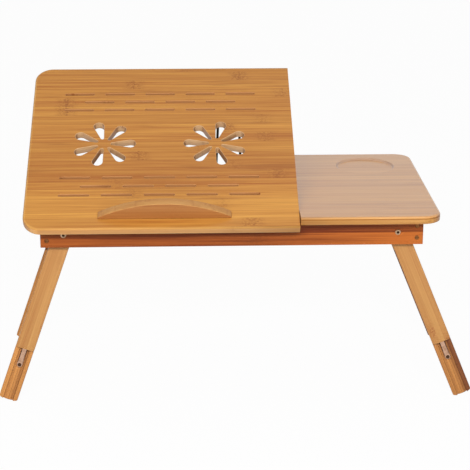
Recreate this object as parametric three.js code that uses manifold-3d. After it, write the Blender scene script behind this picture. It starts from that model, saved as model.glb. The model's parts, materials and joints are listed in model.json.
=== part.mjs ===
import * as THREE from 'three';
import { mergeVertices } from 'three/addons/utils/BufferGeometryUtils.js';
import Module from 'manifold-3d';

const wasm = await Module();
wasm.setup();

// A bamboo laptop stand: a vented board that tilts on a wire prop and a fixed side board,
// both on a frame of rails, with a drawer under the side board and four folding legs whose
// lower halves slide in and out. X runs along the stand, Y to the back and Z up.
// Lengths are millimetres and angles are degrees.

// Fits
const clearance = 0.3;
const glueLine = 0.1;
const overrun = 6;

// Boards
const standLength = 600;
const standDepth = 350;
const boardThickness = 11.5;
const boardCornerRadius = 27;
const boardEdgeRound = 3;
const fixedBoardLength = 203;
const splitGap = 1;
const tiltAngle = 28.7;

// Cup recess in the fixed board
const cupRadius = 45.7;
const cupWallRun = 2;
const cupDepth = 2.5;
const cupFromEnd = 80;
const cupFromBack = 73;

// Frame of rails
const frameBottomHeight = 249.35;
const railHeight = 38;
const railThickness = 13.5;
const leftEndRailThickness = 11.6;
const innerRailThickness = 12;
const endOverhang = 23.4;
const frontOverhang = 25;

// Legs
const legWidth = 28;
const legDepth = 21;
const legPlateThickness = 7;
const legHeadLength = 58;
const upperLegLength = 193;
const lowerLegLength = 161;
const legCornerRadius = 3.5;
const footRadius = 29;
const footCornerRadius = 2;
const legSideRoom = { left: 7.9, right: 9.4 };

// Slide key of a leg and its channel; the key's tongue shows below the upper leg
const channelWidth = 14.8;
const channelUndercut = 1.2;
const channelDepth = 3.2;
const keyLength = 53;
const keyToPlateEnd = 3;
const tongueWidth = 8.6;
const tongueProud = 1;
const tongueReach = 33;

// Fasteners
const boltRadius = 2.5;
const boltHeadRadius = 4.3;
const boltHeadHeight = 1.8;
const boltSocketRadius = 1.9;
const boltSocketDepth = 1.2;
const boltEndMargin = 1.5;
const screwHeadRadius = 3;
const screwHeadDepth = 2.4;
const screwRadius = 1.6;
const screwLength = 32;
const screwTipLength = 4;
const screwSlotWidth = 0.8;
const screwSlotDepth = 0.7;
const screwFromEnd = 9;
const screwSpacing = 18;
const lockScrewHeadRadius = 2.9;
const lockScrewHeadHeight = 1.2;
const lockScrewRadius = 1.4;

// Board hinges
const hingeLength = 40;
const hingeFromBoardEnd = 68;
const hingeLeafDepth = 10.5;
const hingeLeafThickness = 1;
const hingeLeafProud = 0.1;
const hingeKnuckleRadius = 2.5;
const hingePinRadius = 1.1;
const hingeMiddleShare = 0.4;

// Slots and petals cut in the tilting board
const patternLeftOfCentre = 3;
const slotRowsBehindMiddle = 3;
const slotRowOffsets = [74, 92, 110];
const slotRowMargin = 50;
const slotPitch = 62;
const slotLength = 44.5;
const ventSlotWidth = 4;
const flowerSpacing = 167;
const flowerBehindMiddle = 1.5;
const petalCount = 7;
const petalInnerReach = 10.5;
const petalOuterReach = 47.4;
const petalInnerRadius = 2.3;
const petalOuterRadius = 7.8;

// Ledge that stops a laptop at the front of the tilting board
const ledgeLength = 191;
const ledgeHeight = 29.5;
const ledgeEndHeight = 3;
const ledgeThickness = 12;
const ledgeFromFront = 19;
const ledgeRightOfCentre = 4.8;

// Wire prop under the tilting board and the notched rack it stands in
const wireRadius = 2;
const propFromBoardEnd = 96.2;
const propTopWidth = 32;
const propFootWidth = 43;
const propPinLength = 9;
const propPivotFromBack = 114;
const propPivotDrop = 4;
const propFootBehindPivot = 9;
const clipWidth = 6;
const clipDepth = 12;
const clipHeight = 8;
const clipGap = 1.2;
const propFootGap = 0.7;
const rackBaseHeight = 11;
const rackStripHeight = 6;
const rackStripWidth = 6;
const rackStripCount = 3;
const rackGrooveWidth = 7;
const rackSeatRoom = 0.7;

// Drawer
const runnerHeight = 5;
const runnerDepth = 10;
const drawerSideGap = 0.6;
const drawerTopGap = 1.2;
const drawerBackGap = 2;
const drawerFrontThickness = 12;
const drawerWallThickness = 8;
const drawerWallDrop = 4;
const drawerBottomThickness = 4;
const knobRadius = 8;
const knobNeckRadius = 4.5;
const knobLength = 14;
const knobNeckLength = 5;
const knobTenonRadius = 3;
const knobTenonLength = 9;

// Counts of sides for round shapes
const roundSides = 24;
const wireSides = 12;
const arcSegments = 6;
const cutSegments = 3;

// Places that follow from the sizes above
const degree = Math.PI / 180;
const railTop = frameBottomHeight + railHeight;
const railMiddle = frameBottomHeight + railHeight / 2;
const frameHalfLength = standLength / 2 - endOverhang;
const frameHalfDepth = standDepth / 2 - frontOverhang;
const endRailInside = {
  left: frameHalfLength - leftEndRailThickness,
  right: frameHalfLength - railThickness,
};
const innerHalfDepth = frameHalfDepth - railThickness;
const bayHalfDepth = innerHalfDepth - legDepth - 2 * clearance;
const wellHalfDepth = bayHalfDepth - innerRailThickness;
const splitX = standLength / 2 - fixedBoardLength;
const tiltingBoardEnd = splitX - splitGap;
const tiltingBoardStart = -standLength / 2;
const tiltingBoardCentre = (tiltingBoardEnd + tiltingBoardStart) / 2;
const patternCentreX = tiltingBoardCentre - patternLeftOfCentre;
const ledgeCentreX = tiltingBoardCentre + ledgeRightOfCentre;
const propCentreX = tiltingBoardEnd - propFromBoardEnd;
const midRailX = [
  splitX - splitGap / 2 - railThickness / 2,
  splitX - splitGap / 2 + railThickness / 2,
];
const hingeAxisY = -frameHalfDepth;
const hingeAxisZ = railTop + clearance;
const tilt = tiltAngle * degree;

// Materials
const bamboo = (colour) => new THREE.MeshStandardMaterial({ color: colour, roughness: 0.5, metalness: 0 });
const steel = (colour) => new THREE.MeshStandardMaterial({ color: colour, roughness: 0.3, metalness: 1 });
const boardBamboo = () => bamboo('#cf9450');
const railBamboo = () => bamboo('#a85f2c');
const legBamboo = () => bamboo('#d09a5c');
const drawerBamboo = () => bamboo('#c98f52');
const brightSteel = () => steel('#b9b4ad');
const darkSteel = () => steel('#5a4c3e');
const brass = () => steel('#b08d4a');
const blackWire = () => new THREE.MeshStandardMaterial({ color: '#16140f', roughness: 0.35, metalness: 0.6 });

// A closed geometry as a solid that can be cut and joined
function toSolid(geometry) {
  const bare = geometry.clone();
  bare.deleteAttribute('normal');
  bare.deleteAttribute('uv');
  const merged = mergeVertices(bare);
  return new wasm.Manifold(new wasm.Mesh({
    numProp: 3,
    vertProperties: new Float32Array(merged.attributes.position.array),
    triVerts: new Uint32Array(merged.index.array),
  }));
}

function toMesh(name, solid, material) {
  const { vertProperties, triVerts } = solid.getMesh();
  const geometry = new THREE.BufferGeometry();
  geometry.setAttribute('position', new THREE.BufferAttribute(vertProperties, 3));
  geometry.setIndex(new THREE.BufferAttribute(triVerts, 1));
  geometry.computeVertexNormals();
  const mesh = new THREE.Mesh(geometry, material);
  mesh.name = name;
  return mesh;
}

// A box between two values on each axis
function block([x0, x1], [y0, y1], [z0, z1]) {
  const geometry = new THREE.BoxGeometry(x1 - x0, y1 - y0, z1 - z0);
  geometry.translate((x0 + x1) / 2, (y0 + y1) / 2, (z0 + z1) / 2);
  return toSolid(geometry);
}

// A round bar between two points
function rod(radius, start, end, sides = roundSides) {
  const from = new THREE.Vector3(...start);
  const to = new THREE.Vector3(...end);
  const along = to.clone().sub(from);
  const geometry = new THREE.CylinderGeometry(radius, radius, along.length(), sides);
  const turn = new THREE.Quaternion().setFromUnitVectors(
    new THREE.Vector3(0, 1, 0), along.clone().normalize());
  geometry.applyQuaternion(turn);
  const middle = from.add(to).multiplyScalar(1 / 2);
  geometry.translate(middle.x, middle.y, middle.z);
  return toSolid(geometry);
}

function ball(radius, centre, sides = wireSides) {
  const geometry = new THREE.SphereGeometry(radius, sides, sides / 2);
  geometry.translate(...centre);
  return toSolid(geometry);
}

// A turned piece: its profile gives radius and distance along an axis from a start point
function turned(profile, start, direction, sides = roundSides) {
  const points = profile.map(([radius, along]) => new THREE.Vector2(radius, along));
  const geometry = new THREE.LatheGeometry(points, sides);
  const turn = new THREE.Quaternion().setFromUnitVectors(
    new THREE.Vector3(0, 1, 0), new THREE.Vector3(...direction));
  geometry.applyQuaternion(turn);
  geometry.translate(...start);
  return toSolid(geometry);
}

// Flat shapes given a thickness along Z or along Y
function sheetAlongZ(shapes, [z0, z1]) {
  const options = { depth: z1 - z0, bevelEnabled: false, curveSegments: cutSegments };
  const geometry = new THREE.ExtrudeGeometry(shapes, options);
  geometry.translate(0, 0, z0);
  return toSolid(geometry);
}

function sheetAlongY(shape, [y0, y1]) {
  const options = { depth: y1 - y0, bevelEnabled: false, curveSegments: arcSegments };
  const geometry = new THREE.ExtrudeGeometry(shape, options);
  geometry.rotateX(Math.PI / 2);
  geometry.translate(0, y1, 0);
  return toSolid(geometry);
}

// Both boards are cut from one slab with round corners and rounded edges
function wholeBoard(y0, z0) {
  const x1 = standLength / 2 - boardCornerRadius;
  const low = y0 + boardCornerRadius;
  const high = y0 + standDepth - boardCornerRadius;
  const outline = new THREE.Shape();
  outline.absarc(x1, high, boardCornerRadius, 0, Math.PI / 2);
  outline.absarc(-x1, high, boardCornerRadius, Math.PI / 2, Math.PI);
  outline.absarc(-x1, low, boardCornerRadius, Math.PI, 1.5 * Math.PI);
  outline.absarc(x1, low, boardCornerRadius, 1.5 * Math.PI, 2 * Math.PI);
  const geometry = new THREE.ExtrudeGeometry(outline, {
    depth: boardThickness - 2 * boardEdgeRound,
    bevelThickness: boardEdgeRound,
    bevelSize: boardEdgeRound,
    bevelOffset: -boardEdgeRound,
    bevelSegments: 3,
    curveSegments: 8,
  });
  geometry.translate(0, 0, z0 + boardEdgeRound);
  return toSolid(geometry);
}

// The side of the slab between two X values
function boardBetween([x0, x1], y0, z0) {
  const keep = block(
    [x0, x1],
    [y0 - overrun, y0 + standDepth + overrun],
    [z0 - overrun, z0 + boardThickness + overrun]);
  return wholeBoard(y0, z0).intersect(keep);
}

function fixedBoard() {
  const bottom = railTop + glueLine;
  const top = bottom + boardThickness;
  const board = boardBetween([splitX, standLength / 2 + overrun], -standDepth / 2, bottom);
  const cup = turned(
    [[0, -cupDepth], [cupRadius - cupWallRun, -cupDepth], [cupRadius, 0], [cupRadius, overrun], [0, overrun]],
    [standLength / 2 - cupFromEnd, standDepth / 2 - cupFromBack, top],
    [0, 0, 1],
    2 * roundSides);
  return toMesh('fixed_board', board.subtract(cup), boardBamboo());
}

// Screws run in along Y from the outer faces of the front and back rails
const screwPlaces = [];
for (const sideY of [-1, 1]) {
  for (const sideX of [-1, 1]) {
    for (const row of [-1, 1]) {
      screwPlaces.push({ sideX, sideY, row });
    }
  }
}

// A countersunk screw, or the hole for it with room all round
function screwSolid({ sideX, sideY, row }, room) {
  const start = [
    sideX * (frameHalfLength - screwFromEnd),
    sideY * frameHalfDepth,
    railMiddle + row * screwSpacing / 2,
  ];
  const top = room ? -overrun : 0;
  const profile = [
    [0, top],
    [screwHeadRadius + room, top],
    [screwHeadRadius + room, 0],
    [screwRadius + room, screwHeadDepth],
    [screwRadius + room, screwLength - screwTipLength],
    [0, screwLength + room],
  ];
  return turned(profile.filter((point, index) => room || index !== 1), start, [0, -sideY, 0]);
}

function frameScrew(place) {
  const screw = screwSolid(place, 0);
  const x = place.sideX * (frameHalfLength - screwFromEnd);
  const y = place.sideY * frameHalfDepth;
  const z = railMiddle + place.row * screwSpacing / 2;
  const slot = block(
    [x - screwHeadRadius - clearance, x + screwHeadRadius + clearance],
    [y - screwSlotDepth, y + screwSlotDepth],
    [z - screwSlotWidth / 2, z + screwSlotWidth / 2]);
  const end = place.sideX < 0 ? 'left' : 'right';
  const face = place.sideY < 0 ? 'front' : 'back';
  const level = place.row < 0 ? 'lower' : 'upper';
  return toMesh(`${face}_${end}_${level}_screw`, screw.subtract(slot), darkSteel());
}

// Each leg turns on a bolt through a long rail, the leg and an inner rail.
// It swings out until its edge meets the lower inner edge of the end rail.
const legPlaces = [];
for (const end of ['left', 'right']) {
  const sideX = end === 'left' ? -1 : 1;
  const pivotInset = legWidth / 2 + legSideRoom[end];
  const reach = Math.hypot(pivotInset, railHeight / 2);
  const splay = Math.acos((legWidth / 2 + clearance) / reach) - Math.atan2(railHeight / 2, pivotInset);
  const pivotX = sideX * (endRailInside[end] - pivotInset);
  for (const face of ['front', 'back']) {
    legPlaces.push({ name: `${face}_${end}`, sideX, sideY: face === 'front' ? -1 : 1, pivotX, splay });
  }
}

// Depth within a leg, from its outer face inwards, as a range on Y
function legSpan(sideY, outer, inner) {
  const face = innerHalfDepth - clearance;
  const a = sideY * (face - outer);
  const b = sideY * (face - inner);
  return a < b ? [a, b] : [b, a];
}

function pivotBolt({ name, pivotX, sideY }) {
  const shankLength = frameHalfDepth - wellHalfDepth - boltEndMargin;
  const bolt = turned(
    [
      [0, -boltHeadHeight],
      [boltHeadRadius - boltHeadHeight / 2, -boltHeadHeight],
      [boltHeadRadius, -boltHeadHeight / 2],
      [boltHeadRadius, -glueLine],
      [boltRadius, -glueLine],
      [boltRadius, shankLength],
      [0, shankLength],
    ],
    [pivotX, sideY * frameHalfDepth, railMiddle],
    [0, -sideY, 0]);
  const face = sideY * (frameHalfDepth + boltHeadHeight);
  const socket = rod(
    boltSocketRadius,
    [pivotX, face + sideY * overrun, railMiddle],
    [pivotX, face - sideY * boltSocketDepth, railMiddle],
    6);
  return toMesh(`${name}_pivot_bolt`, bolt.subtract(socket), brightSteel());
}

function boltHole({ pivotX, sideY }) {
  return rod(
    boltRadius + clearance,
    [pivotX, sideY * (frameHalfDepth + overrun), railMiddle],
    [pivotX, sideY * (wellHalfDepth - overrun), railMiddle]);
}

// A hinge is two leaves on one pin, let into the front rail and the board above it
const hingePlaces = [
  { name: 'left_hinge', x: tiltingBoardStart + hingeFromBoardEnd },
  { name: 'right_hinge', x: tiltingBoardEnd - hingeFromBoardEnd },
];
const middleHalf = hingeLength * hingeMiddleShare / 2;

function knuckle(x, halfLength, y, z, radius) {
  return rod(radius, [x - halfLength, y, z], [x + halfLength, y, z]);
}

// What a hinge needs cut away, around an axis at y, z and a leaf between two heights
function hingePocket({ x }, y, z, [leafLow, leafHigh]) {
  const half = hingeLength / 2 + clearance;
  const leaf = block([x - half, x + half], [y, y + hingeLeafDepth + clearance], [leafLow, leafHigh]);
  return leaf.add(knuckle(x, half, y, z, hingeKnuckleRadius + clearance));
}

function fixedLeaf({ name, x }) {
  const half = hingeLength / 2;
  const plate = block(
    [x - half, x + half],
    [hingeAxisY, hingeAxisY + hingeLeafDepth],
    [railTop + hingeLeafProud - hingeLeafThickness, railTop + hingeLeafProud]);
  const barrel = knuckle(x, half, hingeAxisY, hingeAxisZ, hingeKnuckleRadius);
  const middleRoom = knuckle(x, middleHalf + clearance, hingeAxisY, hingeAxisZ, hingeKnuckleRadius + clearance);
  const bore = knuckle(x, half + overrun, hingeAxisY, hingeAxisZ, hingePinRadius + clearance);
  return toMesh(`${name}_fixed_leaf`, plate.add(barrel).subtract(middleRoom).subtract(bore), brass());
}

function hingePin({ name, x }) {
  return toMesh(
    `${name}_pin`,
    knuckle(x, hingeLength / 2, hingeAxisY, hingeAxisZ, hingePinRadius),
    brightSteel());
}

function movingLeaf({ name, x }) {
  const half = hingeLength / 2;
  const plate = block(
    [x - half, x + half],
    [0, hingeLeafDepth],
    [-hingeLeafProud, hingeLeafThickness - hingeLeafProud]);
  const barrel = knuckle(x, middleHalf, 0, 0, hingeKnuckleRadius);
  const room = hingeKnuckleRadius + clearance;
  const ends = [-1, 1].map((side) => rod(
    room,
    [x + side * (middleHalf), 0, 0],
    [x + side * (half + overrun), 0, 0]));
  const bore = knuckle(x, half + overrun, 0, 0, hingePinRadius + clearance);
  const leaf = plate.subtract(ends[0]).subtract(ends[1]).add(barrel).subtract(bore);
  return toMesh(`${name}_moving_leaf`, leaf, brass());
}

// Rails
function longRail(name, sideY) {
  const outer = sideY * frameHalfDepth;
  const inner = sideY * innerHalfDepth;
  let rail = block(
    [-frameHalfLength, frameHalfLength],
    [Math.min(outer, inner), Math.max(outer, inner)],
    [frameBottomHeight, railTop]);
  for (const place of legPlaces) {
    if (place.sideY === sideY) rail = rail.subtract(boltHole(place));
  }
  for (const place of screwPlaces) {
    if (place.sideY === sideY) rail = rail.subtract(screwSolid(place, clearance));
  }
  if (sideY < 0) {
    for (const place of hingePlaces) {
      const leafHeights = [railTop - hingeLeafThickness - clearance, railTop + overrun];
      rail = rail.subtract(hingePocket(place, hingeAxisY, hingeAxisZ, leafHeights));
    }
  }
  return toMesh(name, rail, railBamboo());
}

function endRail(name, sideX) {
  const outer = sideX * frameHalfLength;
  const inner = sideX < 0 ? -endRailInside.left : endRailInside.right;
  let rail = block(
    [Math.min(outer, inner), Math.max(outer, inner)],
    [-innerHalfDepth + glueLine, innerHalfDepth - glueLine],
    [frameBottomHeight, railTop]);
  for (const place of screwPlaces) {
    if (place.sideX === sideX) rail = rail.subtract(screwSolid(place, clearance));
  }
  if (sideX > 0) {
    const doorway = block(
      [endRailInside.right - overrun, frameHalfLength + overrun],
      [-wellHalfDepth, wellHalfDepth],
      [frameBottomHeight + runnerHeight, railTop + overrun]);
    rail = rail.subtract(doorway);
  }
  return toMesh(name, rail, railBamboo());
}

function innerRail(name, sideY) {
  const outer = sideY * bayHalfDepth;
  const inner = sideY * wellHalfDepth;
  let rail = block(
    [-endRailInside.left + glueLine, endRailInside.right - glueLine],
    [Math.min(outer, inner), Math.max(outer, inner)],
    [frameBottomHeight, railTop]);
  for (const place of legPlaces) {
    if (place.sideY === sideY) rail = rail.subtract(boltHole(place));
  }
  return toMesh(name, rail, railBamboo());
}

function midRail() {
  const rail = block(
    midRailX,
    [-wellHalfDepth + glueLine, wellHalfDepth - glueLine],
    [frameBottomHeight, railTop]);
  return toMesh('mid_rail', rail, railBamboo());
}

// The prop turns under the board and its foot stands on a rack of grooves: at rest on the
// rack's front step, against the first strip
const propPivotV = standDepth - propPivotFromBack - frontOverhang;
const propPivot = {
  y: hingeAxisY + propPivotV * Math.cos(tilt) + propPivotDrop * Math.sin(tilt),
  z: hingeAxisZ + propPivotV * Math.sin(tilt) - propPivotDrop * Math.cos(tilt),
};
const rackFloor = frameBottomHeight + rackBaseHeight;
const propFoot = {
  y: propPivot.y + propFootBehindPivot,
  z: rackFloor + propFootGap + wireRadius,
};
const propLength = Math.hypot(propPivot.y - propFoot.y, propPivot.z - propFoot.z);
const propLean = Math.atan2(propFoot.y - propPivot.y, propPivot.z - propFoot.z);
const rackX = [-endRailInside.left + glueLine, midRailX[0] - glueLine];
const rackStripStart = propFoot.y + wireRadius + rackSeatRoom;
const rackPitch = rackStripWidth + rackGrooveWidth;
const rackBack = rackStripStart + (rackStripCount - 1) * rackPitch + rackStripWidth;

function rackBase() {
  const base = block(rackX, [propFoot.y, rackBack], [frameBottomHeight, rackFloor]);
  return toMesh('rack_base', base, legBamboo());
}

function rackStrips() {
  const strips = [];
  for (let index = 0; index < rackStripCount; index += 1) {
    const front = rackStripStart + index * rackPitch;
    const strip = block(
      rackX,
      [front, front + rackStripWidth],
      [rackFloor + glueLine, rackFloor + rackStripHeight]);
    strips.push(toMesh(`rack_strip_${index + 1}`, strip, legBamboo()));
  }
  return strips;
}

function wireProp() {
  const topHalf = propTopWidth / 2;
  const footHalf = propFootWidth / 2;
  const corners = [
    [-topHalf - propPinLength, 0],
    [-topHalf, 0],
    [-footHalf, -propLength],
    [footHalf, -propLength],
    [topHalf, 0],
    [topHalf + propPinLength, 0],
  ].map(([x, z]) => [propCentreX + x, 0, z]);
  let wire = rod(wireRadius, corners[0], corners[1], wireSides);
  for (let bend = 1; bend < corners.length - 1; bend += 1) {
    wire = wire.add(ball(wireRadius, corners[bend]));
    wire = wire.add(rod(wireRadius, corners[bend], corners[bend + 1], wireSides));
  }
  const prop = toMesh('wire_prop', wire, blackWire());
  prop.position.set(0, propPivot.y, propPivot.z);
  prop.rotation.x = propLean;
  return prop;
}

function propClip(name, side) {
  const inner = propTopWidth / 2 + wireRadius + clipGap;
  const x = [propCentreX + side * inner, propCentreX + side * (inner + clipWidth)].sort((a, b) => a - b);
  const saddle = block(
    x,
    [propPivotV - clipDepth / 2, propPivotV + clipDepth / 2],
    [-clipHeight, -clearance]);
  const bore = rod(
    wireRadius + clearance,
    [x[0] - overrun, propPivotV, -propPivotDrop],
    [x[1] + overrun, propPivotV, -propPivotDrop]);
  return toMesh(name, saddle.subtract(bore), brightSteel());
}

// The tilting board, with its front edge at -frontOverhang from the hinge axis.
// Every other row of slots has one slot less and stands half a pitch in.
const boardMiddleV = standDepth / 2 - frontOverhang;
const slotRoom = tiltingBoardEnd - tiltingBoardStart - 2 * slotRowMargin - slotLength;
const slotsInWideRow = Math.floor(slotRoom / slotPitch) + 1;

function ventSlot(x, v) {
  const half = slotLength / 2 - ventSlotWidth / 2;
  const shape = new THREE.Shape();
  shape.absarc(x + half, v, ventSlotWidth / 2, -Math.PI / 2, Math.PI / 2);
  shape.absarc(x - half, v, ventSlotWidth / 2, Math.PI / 2, 1.5 * Math.PI);
  return shape;
}

function ventSlots() {
  const shapes = [];
  for (const offset of slotRowOffsets.flatMap((d) => [-d, d])) {
    const middleRow = Math.abs(offset) === slotRowOffsets[1];
    const count = middleRow ? slotsInWideRow - 1 : slotsInWideRow;
    for (let index = 0; index < count; index += 1) {
      const x = patternCentreX + (index - (count - 1) / 2) * slotPitch;
      shapes.push(ventSlot(x, boardMiddleV + slotRowsBehindMiddle + offset));
    }
  }
  return shapes;
}

// A petal is a drop: a small round end and a large one, joined by their tangents
function petal(centreX, centreV, angle) {
  const outerDistance = petalOuterReach - petalOuterRadius;
  const innerDistance = petalInnerReach + petalInnerRadius;
  const flank = Math.asin((petalOuterRadius - petalInnerRadius) / (outerDistance - innerDistance));
  const along = (distance) => [
    centreX + distance * Math.cos(angle),
    centreV + distance * Math.sin(angle),
  ];
  const side = Math.PI / 2 + flank;
  const shape = new THREE.Shape();
  shape.absarc(...along(outerDistance), petalOuterRadius, angle - side, angle + side);
  shape.absarc(...along(innerDistance), petalInnerRadius, angle + side, angle - side + 2 * Math.PI);
  shape.closePath();
  return shape;
}

function flowerPetals() {
  const shapes = [];
  for (const side of [-1, 1]) {
    const centreX = patternCentreX + side * flowerSpacing / 2;
    for (let index = 0; index < petalCount; index += 1) {
      const turn = index * 2 * Math.PI / petalCount;
      const angle = side < 0 ? turn : Math.PI - turn;
      shapes.push(petal(centreX, boardMiddleV + flowerBehindMiddle, angle));
    }
  }
  return shapes;
}

function tiltingBoard() {
  let board = boardBetween([tiltingBoardStart - overrun, tiltingBoardEnd], -frontOverhang, 0);
  const cuts = sheetAlongZ([...ventSlots(), ...flowerPetals()], [-overrun, boardThickness + overrun]);
  board = board.subtract(cuts);
  for (const place of hingePlaces) {
    const leafHeights = [-overrun, hingeLeafThickness + clearance];
    board = board.subtract(hingePocket(place, 0, 0, leafHeights));
  }
  return toMesh('tilting_board', board, boardBamboo());
}

// The ledge is an arched fence: an arc over a straight foot
function ledgeStop() {
  const half = ledgeLength / 2;
  const rise = ledgeHeight - ledgeEndHeight;
  const radius = (half * half + rise * rise) / (2 * rise);
  const foot = boardThickness + clearance;
  const sweep = Math.asin(half / radius);
  const shape = new THREE.Shape();
  shape.moveTo(ledgeCentreX - half, foot);
  shape.lineTo(ledgeCentreX + half, foot);
  shape.absarc(
    ledgeCentreX,
    foot + ledgeHeight - radius,
    radius,
    Math.PI / 2 - sweep,
    Math.PI / 2 + sweep);
  shape.closePath();
  const y0 = ledgeFromFront - frontOverhang;
  const options = { depth: ledgeThickness, bevelEnabled: false, curveSegments: 4 * arcSegments };
  const geometry = new THREE.ExtrudeGeometry(shape, options);
  geometry.rotateX(Math.PI / 2);
  geometry.translate(0, y0 + ledgeThickness, 0);
  return toMesh('ledge_stop', toSolid(geometry), boardBamboo());
}

// Legs are drawn hanging from their pivot, at x = 0 and z = 0, and turned out afterwards
function upperLegOutline(length) {
  const half = legWidth / 2;
  const corner = legCornerRadius;
  const shape = new THREE.Shape();
  shape.absarc(0, 0, half, 0, Math.PI);
  shape.absarc(-half + corner, -length + corner, corner, Math.PI, 1.5 * Math.PI);
  shape.absarc(half - corner, -length + corner, corner, 1.5 * Math.PI, 2 * Math.PI);
  shape.closePath();
  return shape;
}

function upperLeg({ name, sideY }) {
  const plate = sheetAlongY(upperLegOutline(upperLegLength), legSpan(sideY, 0, legPlateThickness));
  const head = sheetAlongY(upperLegOutline(legHeadLength), legSpan(sideY, 0, legDepth));
  const [low, high] = legSpan(sideY, 0, legDepth);
  const bore = rod(boltRadius + clearance, [0, low - overrun, 0], [0, high + overrun, 0]);
  return toMesh(`${name}_upper_leg`, plate.add(head).subtract(bore), legBamboo());
}

// The foot is an arc between small corners. Its middle is on the leg's middle line, and it
// meets the floor a little nearer the middle of the stand
const cornerHalf = legWidth / 2 - footCornerRadius;
const footArcRise = Math.sqrt((footRadius - footCornerRadius) ** 2 - cornerHalf ** 2);

function footDistance(splay) {
  return footRadius + (railMiddle - footRadius) / Math.cos(splay);
}

function lowerLegOutline(length) {
  const half = legWidth / 2;
  const cornerZ = -length + footRadius - footArcRise;
  const lean = Math.asin(cornerHalf / (footRadius - footCornerRadius));
  const shape = new THREE.Shape();
  shape.moveTo(half, -length + lowerLegLength);
  shape.lineTo(-half, -length + lowerLegLength);
  shape.absarc(-cornerHalf, cornerZ, footCornerRadius, Math.PI, 1.5 * Math.PI - lean);
  shape.absarc(0, -length + footRadius, footRadius, 1.5 * Math.PI - lean, 1.5 * Math.PI + lean);
  shape.absarc(cornerHalf, cornerZ, footCornerRadius, 1.5 * Math.PI + lean, 2 * Math.PI);
  shape.closePath();
  return shape;
}

// A dovetail channel runs down the outer face of the lower leg: its section, or that of the
// key that slides in it, between two heights
function dovetail(sideY, room, [low, high]) {
  const mouth = channelWidth / 2 - room;
  const floor = mouth + channelUndercut;
  const [near, far] = [legPlateThickness + clearance, legPlateThickness + clearance + channelDepth - room];
  const face = innerHalfDepth - clearance;
  const section = new THREE.Shape();
  section.moveTo(-floor, sideY * (face - far));
  section.lineTo(floor, sideY * (face - far));
  section.lineTo(mouth, sideY * (face - near));
  section.lineTo(-mouth, sideY * (face - near));
  section.closePath();
  return sheetAlongZ(section, [low, high]);
}

function lowerLeg({ name, sideY, splay }) {
  const length = footDistance(splay);
  const outer = legPlateThickness + clearance;
  const bar = sheetAlongY(lowerLegOutline(length), legSpan(sideY, outer, legDepth));
  const channel = dovetail(sideY, 0, [-length - overrun, -length + lowerLegLength + overrun]);
  return toMesh(`${name}_lower_leg`, bar.subtract(channel), legBamboo());
}

// The key is fixed behind the upper leg's plate and keeps the lower leg on it.
// Its tongue stands proud where it shows below the plate.
const keyEnd = upperLegLength - keyToPlateEnd;
const tongueEnd = upperLegLength + tongueReach;
const lockScrewZ = -tongueEnd + tongueWidth / 2;

function tongueOutline(top) {
  const half = tongueWidth / 2;
  const outline = new THREE.Shape();
  outline.moveTo(half, top);
  outline.lineTo(-half, top);
  outline.absarc(0, lockScrewZ, half, Math.PI, 2 * Math.PI);
  outline.closePath();
  return outline;
}

function slideKey({ name, sideY }) {
  const base = legPlateThickness + clearance;
  const back = base + channelDepth - clearance;
  const key = dovetail(sideY, clearance, [-keyEnd, -keyEnd + keyLength]);
  const tongue = sheetAlongY(tongueOutline(-keyEnd + overrun), legSpan(sideY, base, back));
  const crown = sheetAlongY(
    tongueOutline(-upperLegLength - clearance),
    legSpan(sideY, base - tongueProud, back));
  const [low, high] = legSpan(sideY, base - tongueProud - overrun, back + overrun);
  const hole = rod(lockScrewRadius + clearance, [0, low, lockScrewZ], [0, high, lockScrewZ], wireSides);
  return toMesh(`${name}_slide_key`, key.add(tongue).add(crown).subtract(hole), brightSteel());
}

function lockScrew({ name, sideY }) {
  const face = legPlateThickness + clearance - tongueProud - glueLine;
  const length = channelDepth + tongueProud + glueLine - clearance;
  const start = [0, sideY * (innerHalfDepth - clearance - face), lockScrewZ];
  const screw = turned(
    [
      [0, -lockScrewHeadHeight],
      [lockScrewHeadRadius - lockScrewHeadHeight / 2, -lockScrewHeadHeight],
      [lockScrewHeadRadius, 0],
      [lockScrewRadius, 0],
      [lockScrewRadius, length],
      [0, length],
    ],
    start,
    [0, -sideY, 0],
    wireSides);
  const span = legSpan(sideY, face - lockScrewHeadHeight - overrun, face - lockScrewHeadHeight / 2);
  const slot = block(
    [-screwSlotWidth / 2, screwSlotWidth / 2],
    span,
    [lockScrewZ - lockScrewHeadRadius - clearance, lockScrewZ + lockScrewHeadRadius + clearance]);
  return toMesh(`${name}_lock_screw`, screw.subtract(slot), darkSteel());
}

function leg(place) {
  const group = new THREE.Group();
  group.add(upperLeg(place), lowerLeg(place), slideKey(place), lockScrew(place));
  group.position.set(place.pivotX, 0, railMiddle);
  group.rotation.y = -place.sideX * place.splay;
  return group;
}

// Drawer under the fixed board, running on two cleats and pulled out to the right
const drawer = {
  x: [midRailX[1] + drawerBackGap, frameHalfLength],
  halfWidth: wellHalfDepth - drawerSideGap,
  bottom: frameBottomHeight + runnerHeight + clearance,
  top: railTop - drawerTopGap,
};
const drawerBoxEnd = drawer.x[1] - drawerFrontThickness;
const knobPlace = [drawer.x[1], 0, (drawer.bottom + drawer.top) / 2];

function drawerRunner(name, sideY) {
  const ys = [sideY * (wellHalfDepth - glueLine), sideY * (wellHalfDepth - glueLine - runnerDepth)];
  const runner = block(
    [midRailX[1] + glueLine, endRailInside.right - glueLine],
    [Math.min(...ys), Math.max(...ys)],
    [frameBottomHeight, frameBottomHeight + runnerHeight]);
  return toMesh(name, runner, railBamboo());
}

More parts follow.
